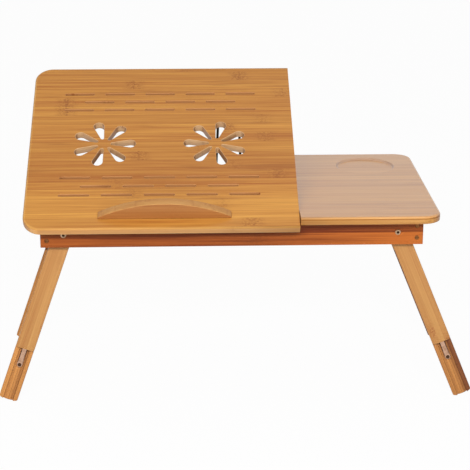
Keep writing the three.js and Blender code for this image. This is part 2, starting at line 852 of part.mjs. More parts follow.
function drawerFront() {
  const front = block(
    [drawerBoxEnd, drawer.x[1]],
    [-drawer.halfWidth, drawer.halfWidth],
    [drawer.bottom, drawer.top]);
  const tenonHole = rod(
    knobTenonRadius + clearance,
    [drawer.x[1] - knobTenonLength - clearance, knobPlace[1], knobPlace[2]],
    [drawer.x[1] + overrun, knobPlace[1], knobPlace[2]]);
  return toMesh('drawer_front', front.subtract(tenonHole), drawerBamboo());
}

function drawerSide(name, sideY) {
  const ys = [sideY * drawer.halfWidth, sideY * (drawer.halfWidth - drawerWallThickness)];
  const wall = block(
    [drawer.x[0], drawerBoxEnd - glueLine],
    [Math.min(...ys), Math.max(...ys)],
    [drawer.bottom, drawer.top - drawerWallDrop]);
  return toMesh(name, wall, drawerBamboo());
}

function drawerBack() {
  const halfWidth = drawer.halfWidth - drawerWallThickness - glueLine;
  const wall = block(
    [drawer.x[0], drawer.x[0] + drawerWallThickness],
    [-halfWidth, halfWidth],
    [drawer.bottom, drawer.top - drawerWallDrop]);
  return toMesh('drawer_back', wall, drawerBamboo());
}

function drawerBottom() {
  const halfWidth = drawer.halfWidth - drawerWallThickness - glueLine;
  const panel = block(
    [drawer.x[0] + drawerWallThickness + glueLine, drawerBoxEnd - glueLine],
    [-halfWidth, halfWidth],
    [drawer.bottom, drawer.bottom + drawerBottomThickness]);
  return toMesh('drawer_bottom', panel, drawerBamboo());
}

function drawerKnob() {
  const knob = turned(
    [
      [0, -knobTenonLength],
      [knobTenonRadius, -knobTenonLength],
      [knobTenonRadius, glueLine],
      [knobNeckRadius, glueLine],
      [knobNeckRadius, knobNeckLength],
      [knobRadius, knobNeckLength + (knobRadius - knobNeckRadius)],
      [knobRadius, knobLength - (knobRadius - knobNeckRadius) / 2],
      [knobNeckRadius, knobLength],
      [0, knobLength],
    ],
    knobPlace,
    [1, 0, 0]);
  return toMesh('drawer_knob', knob, legBamboo());
}

// Assembly
const stand = new THREE.Group();
stand.add(
  longRail('front_rail', -1),
  longRail('back_rail', 1),
  endRail('left_end_rail', -1),
  endRail('right_end_rail', 1),
  innerRail('front_inner_rail', -1),
  innerRail('back_inner_rail', 1),
  midRail(),
  rackBase(),
  ...rackStrips(),
  fixedBoard(),
  ...screwPlaces.map(frameScrew),
  ...legPlaces.map(pivotBolt),
  ...hingePlaces.map(fixedLeaf),
  ...hingePlaces.map(hingePin),
  wireProp(),
  drawerRunner('front_drawer_runner', -1),
  drawerRunner('back_drawer_runner', 1),
  drawerFront(),
  drawerSide('drawer_front_side', -1),
  drawerSide('drawer_back_side', 1),
  drawerBack(),
  drawerBottom(),
  drawerKnob(),
  ...legPlaces.map(leg));

const tiltingGroup = new THREE.Group();
tiltingGroup.add(
  tiltingBoard(),
  ledgeStop(),
  ...hingePlaces.map(movingLeaf),
  propClip('left_prop_clip', -1),
  propClip('right_prop_clip', 1));
tiltingGroup.position.set(0, hingeAxisY, hingeAxisZ);
tiltingGroup.rotation.x = tilt;
stand.add(tiltingGroup);

// The origin is the middle of the stand's outer box, on the floor
const part = new THREE.Group();
part.add(stand);
part.updateMatrixWorld(true);
const outerBox = new THREE.Box3().setFromObject(stand, true);
const middle = outerBox.getCenter(new THREE.Vector3());
stand.position.set(-middle.x, -middle.y, -outerBox.min.z);

export default part;
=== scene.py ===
# %% [markdown]
# # A bamboo laptop stand
# The real stand is a low bed desk of laminated bamboo: a vented board that tilts on a wire prop,
# a fixed side board with a cup recess, a frame of rails with a drawer, and four folding legs.
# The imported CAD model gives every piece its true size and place. This lesson keeps that frame
# and makes each visible piece again with eased edges and a grain that follows the fibre.

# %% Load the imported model
import json
import math

import bmesh
import bpy
import numpy as np
from mathutils import Matrix, Vector
from mathutils.geometry import tessellate_polygon


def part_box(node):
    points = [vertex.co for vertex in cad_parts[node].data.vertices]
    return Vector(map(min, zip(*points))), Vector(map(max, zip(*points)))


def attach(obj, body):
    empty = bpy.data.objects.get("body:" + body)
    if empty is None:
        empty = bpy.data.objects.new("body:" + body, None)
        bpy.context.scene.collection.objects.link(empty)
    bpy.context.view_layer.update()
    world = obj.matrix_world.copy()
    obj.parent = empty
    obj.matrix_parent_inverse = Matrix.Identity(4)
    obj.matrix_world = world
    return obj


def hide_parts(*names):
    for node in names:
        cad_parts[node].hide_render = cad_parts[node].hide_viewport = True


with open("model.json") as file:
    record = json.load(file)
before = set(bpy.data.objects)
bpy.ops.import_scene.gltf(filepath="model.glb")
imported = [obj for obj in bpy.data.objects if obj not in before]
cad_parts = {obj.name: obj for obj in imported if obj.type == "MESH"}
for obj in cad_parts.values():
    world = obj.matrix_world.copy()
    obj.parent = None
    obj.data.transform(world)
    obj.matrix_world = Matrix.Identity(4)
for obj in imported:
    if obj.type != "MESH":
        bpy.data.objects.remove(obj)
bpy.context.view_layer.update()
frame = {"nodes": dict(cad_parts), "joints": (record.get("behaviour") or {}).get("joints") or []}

MM = 0.001
print("nodes in the frame:", len(frame["nodes"]))

# %% [markdown]
# ## The camera
# The view was solved from the straight edges of the boards and rails. A camera could be aimed with
# a constraint, but its own axes say the yaw, the pitch and the small roll exactly: the columns of
# its matrix are right, up and backwards.

# %% Camera
PHOTO_PIXELS = 470
SENSOR_MM = 36
FOCAL_PIXELS = 1492.54
CAMERA_PLACE = (-0.07039, -2.19652, 0.93095)
yaw, pitch, roll = (math.radians(angle) for angle in (1.9, 17.982, 0.039))

forward = Vector((
    math.sin(yaw) * math.cos(pitch), math.cos(yaw) * math.cos(pitch), -math.sin(pitch)))
level_right = Vector((math.cos(yaw), -math.sin(yaw), 0))
level_up = level_right.cross(forward)
right = math.cos(roll) * level_right + math.sin(roll) * level_up
up = math.cos(roll) * level_up - math.sin(roll) * level_right

lens = bpy.data.cameras.new("camera")
lens.lens = FOCAL_PIXELS * SENSOR_MM / PHOTO_PIXELS
lens.sensor_width = SENSOR_MM
lens.clip_end = 40
camera = bpy.data.objects.new("camera", lens)
bpy.context.collection.objects.link(camera)
camera.matrix_world = Matrix.Translation(CAMERA_PLACE) @ Matrix(
    (right, up, -forward)).transposed().to_4x4()
bpy.context.scene.camera = camera
bpy.context.scene.view_settings.view_transform = "Standard"
print("lens:", round(lens.lens, 1), "mm")

# %% [markdown]
# ## Short calls for nodes
# Every finish below is a small tree of shader nodes. They could be clicked together in the
# shader editor, but written as sums they read like the recipe they are. This class holds one
# material and makes a node in one call: a value that is a socket is linked, and any other is set.


# %% Node helper
def paint(red, green, blue):
    """A colour as a screen shows it, 0 to 255, in the linear values that shaders use."""
    screen = np.array([red, green, blue]) / 255
    linear = np.where(screen < 0.04045, screen / 12.92, ((screen + 0.055) / 1.055) ** 2.4)
    return (*linear.tolist(), 1)


class Finish:
    """A node tree and short calls that add to it."""

    def __init__(self, owner):
        owner.use_nodes = True
        self.tree = owner.node_tree

    def put(self, socket, value):
        if isinstance(value, bpy.types.NodeSocket):
            self.tree.links.new(value, socket)
        else:
            socket.default_value = value

    def node(self, kind, values, **settings):
        made = self.tree.nodes.new("ShaderNode" + kind)
        for key, value in settings.items():
            setattr(made, key, value)
        for socket, value in dict(values).items():
            self.put(made.inputs[socket], value)
        return made.outputs

    def math(self, operation, *values, clamp=False):
        return self.node("Math", enumerate(values), operation=operation, use_clamp=clamp)[0]

    def stretched(self, vector, scale, shift=(0, 0, 0)):
        values = {0: vector, 1: scale, 2: shift}
        return self.node("VectorMath", values, operation="MULTIPLY_ADD")[0]

    def noise(self, vector, detail=2, roughness=0.5, distortion=0):
        values = {"Vector": vector, "Scale": 1, "Detail": detail, "Roughness": roughness,
                  "Distortion": distortion}
        return self.node("TexNoise", values)[0]

    def rise(self, value, low, high):
        """0 below low, 1 above high and a smooth step between them."""
        values = {0: value, 1: low, 2: high}
        return self.node("MapRange", values, interpolation_type="SMOOTHSTEP")[0]

    def mix(self, factor, first, second, blend="MIX"):
        values = {0: factor, 6: first, 7: second}
        return self.node("Mix", values, data_type="RGBA", blend_type=blend)[2]


# %% [markdown]
# ## Light and floor
# A product picture has a white ground and soft light. An image could light the scene, but a plain
# world and four lamps are steadier. In the photo the upright edges are the brightest faces and the
# level board the dullest, so most light comes from a broad key lamp in front. Lacquer would mirror
# it, so reflections leave it out, and a weaker lamp in its place makes the glints. A low lamp fills
# the shade under the boards, and one above lights the level faces. The world is white where the
# camera or a reflection sees it and dimmer where it lights the bamboo, so that a colour renders
# about as it is written. The floor is lifted to white the same way, and keeps the stand's shadow.

# %% World, lamps and floor
WORLD_LEVEL = 0.24
FLOOR_LIFT = 0.965
FLOOR_SPAN = 30
FLOOR_GREY = (0.88, 0.88, 0.88, 1)
WHITE = (1, 1, 1, 1)
FRONT_PLACE = (-0.2, -2.6, 1.65)
LAMP_AIM = Vector((0, 0, 0.25))

world = bpy.data.worlds.new("studio")
bpy.context.scene.world = world
sky = Finish(world)


def seen_directly(tree):
    """1 on rays from the camera and on reflected or transmitted ones, else 0."""
    rays = tree.node("LightPath", {})
    seen = tree.math("ADD", rays["Is Camera Ray"], rays["Is Glossy Ray"], clamp=True)
    return tree.math("ADD", seen, rays["Is Transmission Ray"], clamp=True)


level = sky.math("MULTIPLY_ADD", seen_directly(sky), 1 - WORLD_LEVEL, WORLD_LEVEL)
backdrop = world.node_tree.nodes["Background"]
sky.put(backdrop.inputs["Color"], WHITE)
sky.put(backdrop.inputs["Strength"], level)


def lamp(name, place, width, height, power, mirrored=True):
    """A rectangular area lamp at a place, turned to the middle of the stand.

    A lamp that isn't mirrored lights the wood, but lacquer and metal don't reflect it.
    """
    light = bpy.data.lights.new(name, "AREA")
    light.shape = "RECTANGLE"
    light.size, light.size_y = width, height
    light.energy = power
    holder = bpy.data.objects.new(name, light)
    holder.visible_glossy = mirrored
    bpy.context.collection.objects.link(holder)
    turned = (LAMP_AIM - Vector(place)).to_track_quat("-Z", "Y").to_matrix().to_4x4()
    holder.matrix_world = Matrix.Translation(place) @ turned
    print(name, "lamp:", power, "W")


lamp("key", FRONT_PLACE, 2.4, 0.5, 62, mirrored=False)
lamp("glint", FRONT_PLACE, 2.4, 0.22, 16)
lamp("fill", (0.1, -2.2, 0.12), 1.6, 0.2, 5)
lamp("top", (0.6, 0.2, 2.8), 1.6, 1.6, 6)

half = FLOOR_SPAN / 2
floor_mesh = bpy.data.meshes.new("floor")
floor_mesh.from_pydata(
    [(-half, -half, 0), (half, -half, 0), (half, half, 0), (-half, half, 0)], [], [(0, 1, 2, 3)])
floor = bpy.data.objects.new("floor", floor_mesh)
bpy.context.collection.objects.link(floor)

floor_paint = bpy.data.materials.new("floor_paint")
pale = Finish(floor_paint)
pale_shader = floor_paint.node_tree.nodes["Principled BSDF"]
pale.put(pale_shader.inputs["Base Color"], FLOOR_GREY)
pale.put(pale_shader.inputs["Roughness"], 0.9)
glow = pale.node("Emission", {"Color": WHITE, "Strength": 1})[0]
lift = pale.math("MULTIPLY", seen_directly(pale), FLOOR_LIFT)
mixed = pale.node("MixShader", {0: lift, 1: pale_shader.outputs[0], 2: glow})[0]
pale.put(floor_paint.node_tree.nodes["Material Output"].inputs["Surface"], mixed)
floor_mesh.materials.append(floor_paint)
print("floor:", FLOOR_SPAN, "m across")

# %% [markdown]
# ## Bamboo
# The boards are glued from strips of bamboo stem. Each strip has its own tone, fine fibres along
# it, and every 40 cm or so a knuckle, where the stem had a joint: a wavy, darker patch. A photo
# of bamboo would repeat and is not needed. A few stretched noises say the same, read from a
# "grain" attribute that each piece stores: metres along the fibre, across the strips and down
# through the layers. So the pattern runs with the fibre on every face. A "fibre" attribute holds
# the fibre's direction, and a face that it meets end on is darker, as cut ends are.


# %% Masks of the bamboo pattern
KNUCKLE_SPACING, KNUCKLE_SWAY = 0.42, 0.010
GLUE_WIDTH = 0.0007


def strip_table(f, row, strips):
    """Each strip's knuckle phase and tone, from a colour ramp with one flat step a strip."""
    ramp = f.node("ValToRGB", {0: f.math("DIVIDE", f.math("ADD", row, 0.5), len(strips))})[0]
    stops = ramp.node.color_ramp
    stops.interpolation = "CONSTANT"
    for index, (phase, strip_tone) in enumerate(strips):
        place = index / len(strips)
        stop = stops.elements[index] if index < 2 else stops.elements.new(place)
        stop.position = place
        stop.color = (phase, strip_tone, 0, 1)
    phase, strip_tone, _ = f.node("SeparateXYZ", {0: ramp})
    return phase, strip_tone


def knuckle_masks(f, grain, along, own, start):
    """A joint of the stem: its wavy patch, the thin ring in it, dark specks and pale flecks.

    away is the distance along the fibre to the nearest joint: the fraction of a spacing that lies
    between them, from -0.5 to 0.5, without its sign and times the spacing.
    """
    sway = f.noise(f.stretched(grain, (60, 170, 170)), detail=1)
    turns = f.math("DIVIDE", f.math("MULTIPLY_ADD", sway, KNUCKLE_SWAY, along), KNUCKLE_SPACING)
    phase = f.math("FRACT", f.math("ADD", f.math("SUBTRACT", turns, start), 0.5))
    away = f.math("MULTIPLY", f.math("ABSOLUTE", f.math("SUBTRACT", phase, 0.5)), KNUCKLE_SPACING)
    patch = f.math("SUBTRACT", 1, f.rise(away, 0.003, 0.022))
    ring = f.math("SUBTRACT", 1, f.rise(away, 0.0004, 0.0022))
    swirl = f.noise(f.stretched(grain, (230, 420, 420), own), detail=2, distortion=1.2)
    specks = f.math("MULTIPLY", f.rise(swirl, 0.47, 0.64), patch)
    flecks = f.math("MULTIPLY", f.rise(swirl, 0.5, 0.36), patch)
    return patch, ring, specks, flecks


def seam_mask(f, lane, strip):
    """1 in the middle of a glue line between two strips, 0 beyond its width."""
    away = f.math("ABSOLUTE", f.math("SUBTRACT", f.math("FRACT", lane), 0.5))
    return f.rise(away, 0.5 - GLUE_WIDTH / strip, 0.5)


def end_mask(f):
    """0 on a face that runs with the fibre, 1 on one that cuts straight across it."""
    fibre = f.node("Attribute", {}, attribute_name="fibre")["Vector"]
    normal = f.node("TexCoord", {})["Normal"]
    facing = f.node("VectorMath", {0: fibre, 1: normal}, operation="DOT_PRODUCT")["Value"]
    return f.rise(f.math("ABSOLUTE", facing), 0.45, 1)


# %% Bamboo finish
BROWN = (134, 72, 28)
STRIP, PLY, BOARD_LAYER = 0.020, 0.0058, 0.0125
STEM_WAVE = 5.2


def bamboo(name, light, deep, mark=BROWN, strip=STRIP, layer=BOARD_LAYER, strips=None,
           contrast=1.0, lanes=0.4, seams=0.5, knots=1.0, drift=0.0, shine=0.5, lacquer=0.0):
    """Strips of a width and layers of a thickness, toned between light and deep.

    mark is the colour of knuckles, smears, glue lines and end grain. strips gives each strip the
    phase of its knuckle and its tone; without it both are random. contrast scales the differences
    of tone, lanes is the share of a strip's own tone, drift that of a slow wave along the fibre,
    seams and knots the strength of the glue lines and knuckles. shine is the strength of the
    reflection and lacquer the weight of a clear coat. The noises' scales are waves a metre along
    the fibre, across the strips and through the layers.
    """
    light, deep, mark = (paint(*colour) for colour in (light, deep, mark))
    material = bpy.data.materials.new(name)
    f = Finish(material)
    grain = f.node("Attribute", {}, attribute_name="grain")["Vector"]
    along, across, down = f.node("SeparateXYZ", {0: grain})
    lane = f.math("DIVIDE", across, strip)
    row = f.math("FLOOR", lane)
    ply = f.math("FLOOR", f.math("DIVIDE", down, layer))
    cell = f.node("CombineXYZ", {0: row, 1: ply, 2: 0.5})[0]
    chance, chances = f.node("TexWhiteNoise", {"Vector": cell}, noise_dimensions="3D")
    own = f.node("VectorMath", {0: chances, 1: (9, 3, 3)}, operation="MULTIPLY")[0]
    _, fade, hue = f.node("SeparateXYZ", {0: chances})
    start = chance
    if strips:
        start, chance = strip_table(f, row, strips)

    broad = f.noise(f.stretched(grain, (2.5, 110, 110), own), detail=2)
    bands = f.noise(f.stretched(grain, (4, 330, 330), own), detail=3, roughness=0.65)
    fibres = f.noise(f.stretched(grain, (9, 850, 850), own), detail=3, roughness=0.6)
    tone = f.math("MULTIPLY_ADD", chance, lanes * contrast, 0.5 - (1.45 + lanes / 2) * contrast)
    for layer_tone, weight in ((broad, 0.8), (bands, 1.0), (fibres, 1.1)):
        tone = f.math("MULTIPLY_ADD", layer_tone, weight * contrast, tone)
    slow = f.math("SINE", f.math("MULTIPLY", along, STEM_WAVE))
    tone = f.math("MULTIPLY_ADD", slow, drift, tone)
    tone = f.math("MINIMUM", f.math("MAXIMUM", tone, 0), 1)
    colour = f.mix(tone, light, deep)
    blush = f.math("MULTIPLY", f.rise(hue, 0.4, 1), 0.2 * contrast)
    colour = f.mix(blush, colour, f.mix(0.5, deep, mark))
    smear = f.rise(f.noise(f.stretched(grain, (4, 70, 70)), detail=3, roughness=0.7), 0.56, 0.74)
    colour = f.mix(f.math("MULTIPLY", smear, 0.35 * contrast), colour, mark)

    patch, ring, specks, flecks = knuckle_masks(f, grain, along, own, start)
    strength = f.math("MULTIPLY_ADD", fade, 0.7 * knots, 0.3 * knots)
    knuckle = f.math("MULTIPLY_ADD", ring, 0.3, f.math("MULTIPLY", specks, 0.55))
    knuckle = f.math("MULTIPLY_ADD", patch, 0.2, knuckle)
    colour = f.mix(f.math("MULTIPLY", knuckle, strength, clamp=True), colour, mark)
    colour = f.mix(f.math("MULTIPLY", f.math("MULTIPLY", flecks, strength), 0.3), colour, light)

    glue = f.math("MULTIPLY", seam_mask(f, lane, strip), f.math("MULTIPLY", broad, seams),
                  clamp=True)
    colour = f.mix(glue, colour, mark)
    colour = f.mix(f.math("MULTIPLY", end_mask(f), 0.55), colour, mark)

    shader = material.node_tree.nodes["Principled BSDF"]
    f.put(shader.inputs["Base Color"], colour)
    f.put(shader.inputs["Roughness"], f.math("MULTIPLY_ADD", bands, 0.24, 0.3))
    f.put(shader.inputs["Specular IOR Level"], shine)
    f.put(shader.inputs["Coat Weight"], lacquer)
    f.put(shader.inputs["Coat Roughness"], 0.2)
    height = f.math("MULTIPLY_ADD", ring, 0.8, f.math("MULTIPLY_ADD", fibres, 0.5, bands))
    bump = f.node("Bump", {"Strength": 0.12, "Distance": 0.0004, "Height": height})[0]
    f.put(shader.inputs["Normal"], bump)
    return material


# %% [markdown]
# ## The bamboo finishes
# One recipe makes every bamboo finish, and a row of settings tells them apart. The side board is
# lacquered and even, the rails are dark and red, and the legs pale with narrow strips. Each could
# leave its strips to chance, but the big board shows in the photo where each strip has its knuckle
# and whether it is pale, middling or deep, so those are listed, from its front edge to its back.
# Sawn, routed and sanded faces have finishes of their own, and most of them carry painted light.
# The petal walls are pale, partly as sawn faces are and partly against the shade inside them. The
# top rounds of both boards are painted lighter as a highlight, and the big board's front face paler
# for the light it gets from below. The side board's upright edge is a darker, shaded copy, with a
# band of painted shade under its round, and the wall of its cup recess is a painted reflection of
# the lacquered top's sheen.

# %% Strips of the big board
ALONG_SHIFT = 0.6
PALE, MIDDLE, DEEP = 0.15, 0.5, 0.8
tilting_knuckles = [
    0.035, -0.105, -0.007, -0.137, -0.162, 0.075, 0.010, -0.130, -0.040,
    0.060, 0.002, 0.057, -0.242, -0.242, 0.090, -0.140, 0.025, -0.060]
tilting_tones = [
    PALE, PALE, PALE, MIDDLE, DEEP, DEEP, DEEP, MIDDLE, PALE, DEEP, MIDDLE, PALE, MIDDLE, DEEP,
    MIDDLE, MIDDLE, MIDDLE, MIDDLE]
tilting_strips = [((place + ALONG_SHIFT) / KNUCKLE_SPACING % 1, tone)
                  for place, tone in zip(tilting_knuckles, tilting_tones)]

# %% All bamboo finishes
# The lower legs' strip width puts glue lines on both edges of the channel, where they also paint
# the shade of its crease.
LEG_STRIP, LEG_LAYER = 0.0074, 0.007
recipes = {
    "fixed": dict(
        light=(226, 165, 82), deep=(184, 116, 50), contrast=0.65, knots=0.2, lacquer=0.65),
    "tilting": dict(
        light=(214, 154, 70), deep=(165, 98, 40), strips=tilting_strips, contrast=1.3, shine=0.35),
    "ledge": dict(
        light=(196, 138, 76), deep=(158, 98, 48), strip=0.04, knots=0.3, shine=0.35),
    # The rails' strips differ strongly in tone, and on the long rails the deep one is the upper
    # strip: partly its own tone, partly painted shade under the boards' overhang. The drift darkens
    # them slowly along their length.
    "rail": dict(
        light=(180, 99, 40), deep=(106, 46, 19), mark=(74, 34, 16), layer=PLY, lanes=0.7,
        knots=0.25, drift=0.6, shine=0.12),
    "leg": dict(
        light=(195, 146, 85), deep=(170, 115, 62), mark=(150, 88, 44), strip=0.0093,
        layer=LEG_LAYER, shine=0.3),
    "drawer": dict(light=(214, 164, 100), deep=(190, 134, 74), layer=PLY, shine=0.3),
    # Partly painted light: the finish below is paler than the board, partly as sawn faces are and
    # partly against the shade inside the holes.
    "cut": dict(
        light=(212, 172, 124), deep=(184, 142, 96), layer=PLY, contrast=0.5, lacquer=0.3),
    # Painted light: the finish below is paler than the board, for the light that the big board's
    # down-turned front face gets from below.
    "edge": dict(light=(232, 182, 113), deep=(200, 142, 82), knots=0.3, shine=0.35),
    # Painted highlight: the finish below is lighter than the board, for a glint along the big
    # board's top round.
    "round": dict(light=(221, 168, 92), deep=(188, 130, 62), knots=0.3, shine=0.35),
    # Painted shade: the finish below is a darker copy of the side board's bamboo, for its upright
    # edge.
    "side": dict(
        light=(212, 158, 80), deep=(172, 116, 50), knots=0.3, shine=0.4, lacquer=0.3),
    # Painted highlight: the finish below is lighter than the side board, for a glint along its top
    # round.
    "highlight_lip": dict(
        light=(230, 175, 104), deep=(192, 130, 74), contrast=0.65, knots=0.2, lacquer=0.65),
    # Painted shade: the finish below paints a dark band just under the side board's top round,
    # where its face turns from the light.
    "glue": dict(light=(176, 118, 56), deep=(144, 88, 36), knots=0.3, shine=0.2),
    "slot": dict(
        light=(206, 150, 96), deep=(176, 120, 72), layer=PLY, contrast=0.5, shine=0.2),
    # Painted reflection: the finish below is a pale pinkish grey, the sheen that the lacquered top
    # shows, painted on the cup recess's wall.
    "pressed": dict(
        light=(208, 170, 138), deep=(186, 146, 116), layer=PLY, contrast=0.5, knots=0, shine=0.3,
        lacquer=0.5),
}
# Painted shade on the lower legs: strong glue lines at the channel's edges paint the shade of its
# crease, and on the right legs the deep strip at one ridge paints shade on the side turned from the
# light.
for end, tones in (("left", (0.0, 0.1, 0.2, 0.2)), ("right", (0.4, 0.25, 0.4, 1.2))):
    recipes[f"lower_{end}"] = dict(
        light=(206, 142, 76), deep=(114, 62, 28), mark=(88, 44, 20), strip=LEG_STRIP,
        layer=LEG_LAYER, strips=[(0.2 * k, tone) for k, tone in enumerate(tones)], lanes=0.8,
        seams=1.1, knots=0.3, shine=0.3)
finishes = {name: bamboo(f"{name}_bamboo", **recipe) for name, recipe in recipes.items()}
print("bamboo finishes:", len(finishes))

# %% [markdown]
# ## Metal and black wire
# The clips are bright plated steel, and the pivot bolts a warmer steel whose hex socket is painted
# dark, a painted shade for its hollow. The frame screws are brown and the lock screws nearly black.
# Hinges are brass plated, and the prop is a wire with glossy black paint. Metal could be one flat
# colour with a low roughness, but real plating has faint rubbing and stains. A noise varies the
# roughness, and another the colour.


# %% Metal finish
# Painted shade: between these radii about a pivot bolt's axis, its socket is painted dark.
SOCKET_START, SOCKET_END = 0.0019, 0.0024
SOCKET_SHADE = (56, 34, 22)


def plated(name, colour, worn, rough, metallic=1.0, grain=900, sockets=()):
    """A plated or painted surface: one noise mottles its colour and one its roughness.

    sockets are points; within 2 mm of the lines through them along y the metal is painted nearly
    black, a painted shade for the hollow of each bolt's hex socket.
    """
    colour, worn = paint(*colour), paint(*worn)
    material = bpy.data.materials.new(name)
    f = Finish(material)
    place = f.node("TexCoord", {})["Object"]
    stains = f.noise(f.stretched(place, (grain / 6,) * 3), detail=3, roughness=0.6)
    rubbing = f.noise(f.stretched(place, (grain, grain, grain / 8)), detail=2)
    shader = material.node_tree.nodes["Principled BSDF"]
    colour = f.mix(f.rise(stains, 0.4, 0.72), colour, worn)
    for x, z in sockets:
        flat = f.stretched(place, (1, 0, 1), (-x, 0, -z))
        away = f.node("VectorMath", {0: flat}, operation="LENGTH")["Value"]
        edge = f.rise(away, SOCKET_START, SOCKET_END)
        colour = f.mix(edge, paint(*SOCKET_SHADE), colour)
    f.put(shader.inputs["Base Color"], colour)
    f.put(shader.inputs["Roughness"], f.math("MULTIPLY_ADD", rubbing, 0.2, rough - 0.1))
    f.put(shader.inputs["Metallic"], metallic)
    bump = f.node("Bump", {"Strength": 0.08, "Distance": 0.0001, "Height": rubbing})[0]
    f.put(shader.inputs["Normal"], bump)
    return material


# %% All metal finishes
finishes["steel"] = plated("bright_steel", (212, 208, 202), (160, 152, 142), 0.28)
finishes["dark"] = plated("dark_steel", (86, 62, 46), (54, 38, 28), 0.42)
finishes["screw"] = plated("brown_steel", (132, 86, 50), (90, 54, 32), 0.42)
bolt_places = [(joint["pos_m"][0], joint["pos_m"][2]) for joint in frame["joints"]
               if joint["name"] in ("front_left_fold", "front_right_fold")]
finishes["bolt"] = plated(
    "bolt_steel", (192, 164, 134), (148, 120, 92), 0.34, sockets=bolt_places)
finishes["brass"] = plated("brass_plate", (206, 172, 104), (150, 116, 62), 0.3)
finishes["tongue"] = plated("tongue_metal", (206, 166, 140), (172, 134, 108), 0.32)
finishes["wire"] = plated(
    "black_wire", (20, 18, 16), (34, 30, 26), 0.24, metallic=0.0, grain=400)
print("finishes in all:", len(finishes))

# %% [markdown]
# ## Outlines and edges
# Almost every piece is a flat bar or board with eased edges. Such a shape could be a cube with a
# bevel, but a sum says it better: an outline, and an edge profile carried round it. Each outline is
# a ring of corners, rounded by arcs. At a corner the profile moves in along the mitre of the two
# sides.


# %% Outline helpers
def rounded(corners, steps=6):
    """Each corner (a, b, radius) becomes an arc from one side's tangent point to the next's.

    The centre is the corner less radius times tan(half the turn) along the first side, plus the
    radius along that side's normal. The radius then swings through the turn.
    """
    corner = np.array(corners, float)
    point, radius = corner[:, :2], corner[:, 2:]
    along = point - np.roll(point, 1, 0)
    along /= np.linalg.norm(along, axis=1, keepdims=True)
    after = np.roll(along, -1, 0)
    normal = np.stack([-along[:, 1], along[:, 0]], 1)
    turn = np.arctan2((normal * after).sum(1), (along * after).sum(1))[:, None]
    sign = np.sign(turn)
    centre = point - along * radius * np.tan(abs(turn) / 2) + sign * normal * radius
    swing = turn * np.linspace(0, 1, steps + 1)
    arcs = centre[:, None] + (sign * radius)[..., None] * (
        along[:, None] * np.sin(swing)[..., None] - normal[:, None] * np.cos(swing)[..., None])
    ring = arcs.reshape(-1, 2)
    gap = np.linalg.norm(ring - np.roll(ring, 1, 0), axis=1)
    return ring[gap > 1e-7]


def rectangle(low, high, radius, steps=6):
    (a0, b0), (a1, b1) = low, high
    corners = [(a0, b0, radius), (a1, b0, radius), (a1, b1, radius), (a0, b1, radius)]
    return rounded(corners, steps)


def circle(centre, radius, count=48):
    """point(i) = centre + radius * (cos, sin) at turn(i)."""
    turn = np.linspace(0, 2 * np.pi, count, endpoint=False)
    return np.array(centre) + radius * np.stack([np.cos(turn), np.sin(turn)], 1)


def eased(low, high, top, bottom=None, steps=4):
    """An edge profile from the top face to the bottom one: a quarter round, then another.

    The columns are the distance in from the outline and the height.
    """
    bottom = top if bottom is None else bottom
    turn = np.linspace(0, np.pi / 2, steps + 1)
    upper = np.stack([top * (1 - np.sin(turn)), high - top * (1 - np.cos(turn))], 1)
    lower = np.stack([bottom * (1 - np.cos(turn)), low + bottom * (1 - np.sin(turn))], 1)
    return np.concatenate([upper, lower])


# %% [markdown]
# ## From outlines to a closed mesh
# The walls are a grid: one direction runs round the outline and the other along the profile.
# Holes run the other way round, so the same sum moves their edges into the wood. A pocket's
# profile ends in a floor. The flat faces are filled with triangles between all the loops. Walls
# are shaded smooth and the flat faces flat, so long triangles leave no streaks.


# %% Shell and piece builders
def inward(outline):
    """At each corner, the two sides' left normals added, over one plus their dot product."""
    side = np.roll(outline, -1, 0) - outline
    side /= np.linalg.norm(side, axis=1, keepdims=True)
    after = np.stack([-side[:, 1], side[:, 0]], 1)
    before = np.roll(after, 1, 0)
    return (before + after) / (1 + (before * after).sum(1, keepdims=True))


def walls(rings, count, first):
    """Quads between each ring and the next, closed round, as one index grid."""
    ring, spot = np.meshgrid(np.arange(rings - 1), np.arange(count), indexing="ij")
    beside = (spot + 1) % count
    corners = [ring * count + spot, (ring + 1) * count + spot,
               (ring + 1) * count + beside, ring * count + beside]
    return first + np.stack(corners, -1).reshape(-1, 4)


def face(points, loops, upward):
    """Triangles that fill flat loops of point numbers and all face one way."""
    flat = points * (1, 1, 0)
    filled = np.array(tessellate_polygon([flat[loop].tolist() for loop in loops]))
    corners = np.concatenate(loops)[filled]
    one, two, three = (points[corners[:, k], :2] for k in range(3))
    first, second = two - one, three - one
    area = first[:, 0] * second[:, 1] - first[:, 1] * second[:, 0]
    return np.where(((area > 0) == upward)[:, None], corners, corners[:, ::-1])


def carried(start, step, profile):
    """point(k, i) = start(i) + offset(k) * step(i), at height(k)."""
    flat = start + profile[:, None, :1] * step
    heights = np.broadcast_to(profile[:, None, 1:], flat.shape[:2] + (1,))
    return np.concatenate([flat, heights], 2).reshape(-1, 3)


def shell(outer, edge, holes=(), hole_edge=None, pockets=()):
    """One closed body: point(k, i) = outline(i) + inset(k) * inward(i), at height(k).

    Holes pass through with hole_edge, and each pocket is an outline with its own profile.
    """
    loops = [(outer, edge, True)]
    loops += [(hole[::-1], hole_edge, True) for hole in holes]
    loops += [(pocket[::-1], profile, False) for pocket, profile in pockets]
    points, quads, top, bottom, floors = [], [], [], [], []
    first = 0
    for outline, profile, through in loops:
        points.append(carried(outline, inward(outline), profile))
        quads.append(walls(len(profile), len(outline), first))
        numbers = np.arange(len(outline))
        top.append(first + numbers)
        (bottom if through else floors).append(first + (len(profile) - 1) * len(outline) + numbers)
        first += len(points[-1])
    points = np.concatenate(points)
    flats = [face(points, top, True), face(points, bottom, False)]
    flats += [face(points, [loop], True) for loop in floors]
    return points, np.concatenate(quads), np.concatenate(flats)


piece_count = 0


